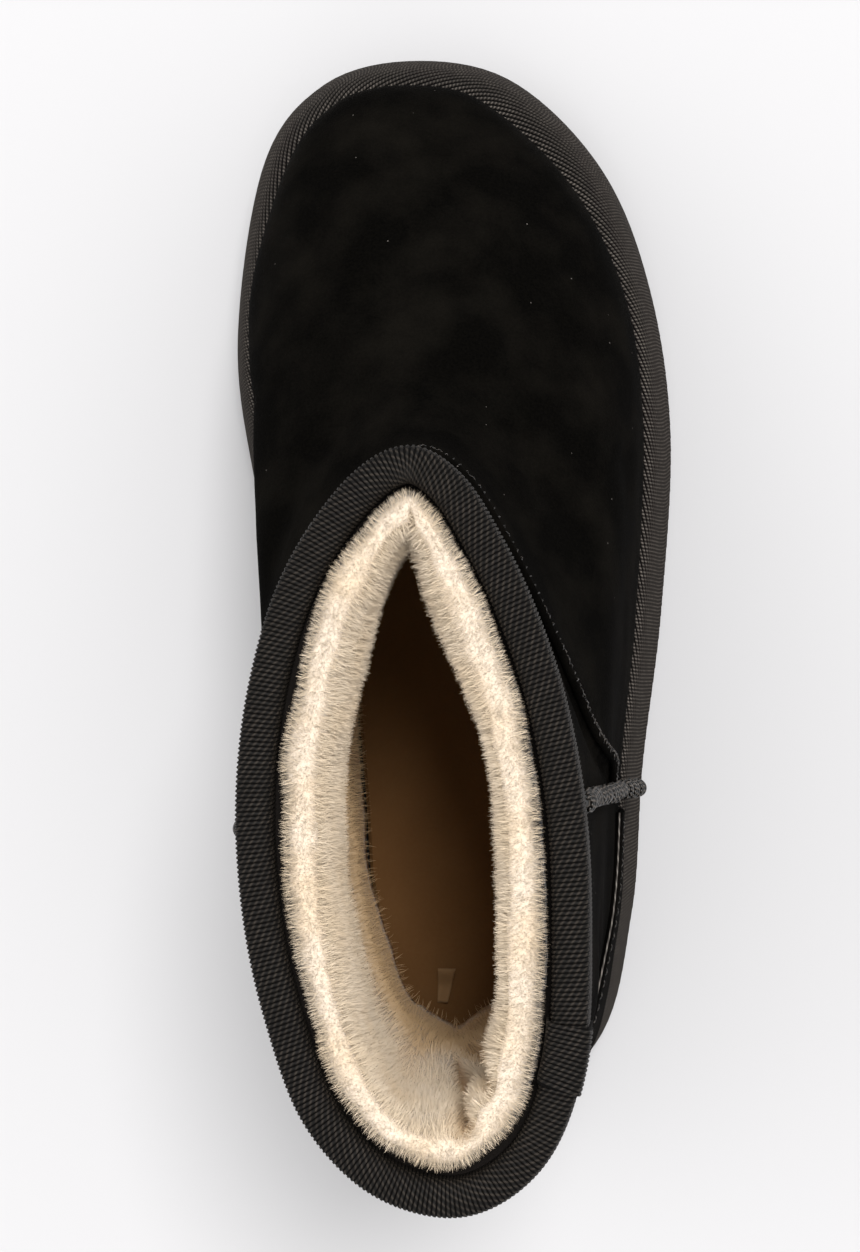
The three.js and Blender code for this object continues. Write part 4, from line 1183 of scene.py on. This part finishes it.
# Strands begin just past the binding and thin out down the wall
strandShare = ease((4.3 - rowsAlong) / 0.8) * mix(1.0, 0.28, ease((rowsAlong - 0.9) / 0.7))
strandShare *= ease((rowsAlong - 0.07) / 0.08)
rootShade = 1 - ease((rowsAlong - 0.12) / 0.16)  # painted shade: the gap beside the binding is coloured dark


def furBase():
    count = len(hidden)
    deep = np.concatenate([np.zeros((count, fur["around"])), paintedDepthShade])
    # Painted shade: the hidden rings under the binding take the dark gap colour in full
    shade = np.repeat(np.concatenate([np.ones(count), rootShade])[:, None], fur["around"], 1)
    return ringPiece("fleece_base", hidden + list(base), fleeceLook, {
        "deep": deep.reshape(-1, 1), "rootShade": shade.reshape(-1, 1)})


dress(furBase(), "fleece", "fur_lining")

strands = {"perSquareMetre": 6.6e6, "length": 2.6, "width": 0.115, "comb": 0.3, "clump": 0.2,
           "clumpSize": 1.5, "sectors": [("front", -0.13, 0.13), ("outer", 0.13, 0.37),
                                         ("back", 0.37, 0.63), ("inner", 0.63, 0.87)]}


def strandSector(name, start, end, seed):  # one quarter of the pile
    first, final = math.ceil(start * fur["around"]), math.floor(end * fur["around"]) + 1
    pick = np.arange(first, final + 1) % fur["around"]
    part, normal = base[:, pick], pileNormal[:, pick]
    faces, sample = gridFaces(*part.shape[:2]), 200  # any face away from the edge
    a, b, c = (part.reshape(-1, 3)[faces[sample, k]] for k in (0, 1, 2))
    if np.dot(np.cross(b - a, c - a), normal.reshape(-1, 3)[faces[sample, 0]]) < 0:
        faces = faces[:, ::-1]

    def acrossRows(values):
        return np.repeat(values[:, None], len(pick), 1).reshape(-1, 1)
    shorter = mix(1, 0.45, folded[:, pick].reshape(-1, 1))
    source = meshObject("guide", part, faces, None, {
        "comb": comb[:, pick] * mix(-0.7, 1, ease(rowsAlong / 0.7))[:, None, None],
        "density": acrossRows(strandShare), "deep": paintedDepthShade[:, pick].reshape(-1, 1),
        "pileLength": acrossRows(mix(0.4, 1.0, ease((rowsAlong - 0.05) / 0.32))) * shorter})
    return grown("fleece_nap_" + name, source, plushTree, {
        "Strands per square metre": strands["perSquareMetre"], "Length": strands["length"] * metres,
        "Width": strands["width"] * metres, "Comb": strands["comb"], "Clump": strands["clump"],
        "Clump size": strands["clumpSize"] * metres, "Seed": seed}, strandLook)


for seed, (name, start, end) in enumerate(strands["sectors"], 1):
    piece = dress(strandSector(name, start, end, seed), "fleece")
    print("stage: strands", name, len(piece.data.polygons), "faces")


# The blank label, and the insole and sole, which keep the CAD part's meshes

label = {"fromHeel": 40, "length": 8.4, "width": 3.4, "widens": 1.8, "lean": 1.2, "curl": 2.6,
         "overSeat": 4, "thickness": 0.35, "rows": 14, "columns": 10}


def makeLabel():
    y = label["fromHeel"] - halfLength
    s, t = np.meshgrid(np.linspace(-0.5, 0.5, label["rows"]),
                       np.linspace(-0.5, 0.5, label["columns"]), indexing="ij")
    lift = 0.5 + label["curl"] * ease((s + 0.1) / 0.6) + 0.3 * np.sin(t * 4)
    across = (label["width"] + label["widens"] * s) * t + label["lean"] * s
    height = float(seatTop(np.array(y))) + label["overSeat"] + 2 * gap + lift
    top = np.stack([across, y + label["length"] * s, height], -1)
    return patchPiece("blank_label", top, top - np.array([0, 0, label["thickness"]]), labelLook)


dress(makeLabel(), "label_cloth", "care_label")
for name, look in (("outsole", outsoleLook), ("platform", platformLook), ("insole", insoleLook)):
    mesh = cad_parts[name].data
    mesh.materials.clear()
    mesh.materials.append(look)
print("stage: label, insole and sole dressed")


# Floor, light and camera

studio = {
    "floor": tone(206, 205, 206), "floorReach": 3, "world": 1.0, "lit": (0, 0, 0.05),
    # Lamps: name, place, size and power
    "lamps": [("key", (0.85, 1.35, 4.5), 1.5, 132), ("fill", (-1.8, 0.2, 2.2), 1.7, 5),
              ("back", (0.6, -1.9, 2.0), 1.5, 5)],
    "eye": (0.0366, -0.030, 0.600), "aim": (-0.0057, -0.0075, 0.010),
    "sensor": 36, "focalPixels": 2345, "heightPixels": 1252,
}


def makeFloor():
    r = studio["floorReach"]
    mesh = bpy.data.meshes.new("floor")
    mesh.from_pydata([(-r, -r, 0), (r, -r, 0), (r, r, 0), (-r, r, 0)], [], [(0, 1, 2, 3)])
    mesh.materials.append(finish(
        "paleFloor", Base_Color=studio["floor"], Roughness=0.9, Specular_IOR_Level=0.1)[0])
    linked("floor", mesh)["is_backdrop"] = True


def makeLamps():
    for name, place, size, power in studio["lamps"]:
        light = bpy.data.lights.new(name, "AREA")
        light.shape, light.size, light.energy = "DISK", size, power
        lamp = linked(name, light)
        lamp.location = place
        towards = Vector(studio["lit"]) - Vector(place)
        lamp.rotation_euler = towards.to_track_quat("-Z", "Y").to_euler()
    world = bpy.data.worlds.new("studio")
    world.use_nodes = True
    world.node_tree.nodes["Background"].inputs["Color"].default_value = (1, 1, 1, 1)
    world.node_tree.nodes["Background"].inputs["Strength"].default_value = studio["world"]
    bpy.context.scene.world = world
    bpy.context.scene.view_settings.view_transform = "Standard"


def makeCamera():  # from straight above, a little ahead of the heel, the toe up in the picture
    eye, aim = Vector(studio["eye"]), Vector(studio["aim"])
    data = bpy.data.cameras.new("camera")
    data.sensor_width, data.clip_start = studio["sensor"], 0.01
    data.lens = studio["focalPixels"] / studio["heightPixels"] * studio["sensor"]
    camera = linked("camera", data)
    ahead = (aim - eye).normalized()
    right = ahead.cross(Vector((0, 1, 0))).normalized()
    turned = Matrix((right, right.cross(ahead), -ahead)).transposed()
    camera.matrix_world = Matrix.Translation(eye) @ turned.to_4x4()
    bpy.context.scene.camera = camera


makeFloor()
makeLamps()
makeCamera()
low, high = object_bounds()
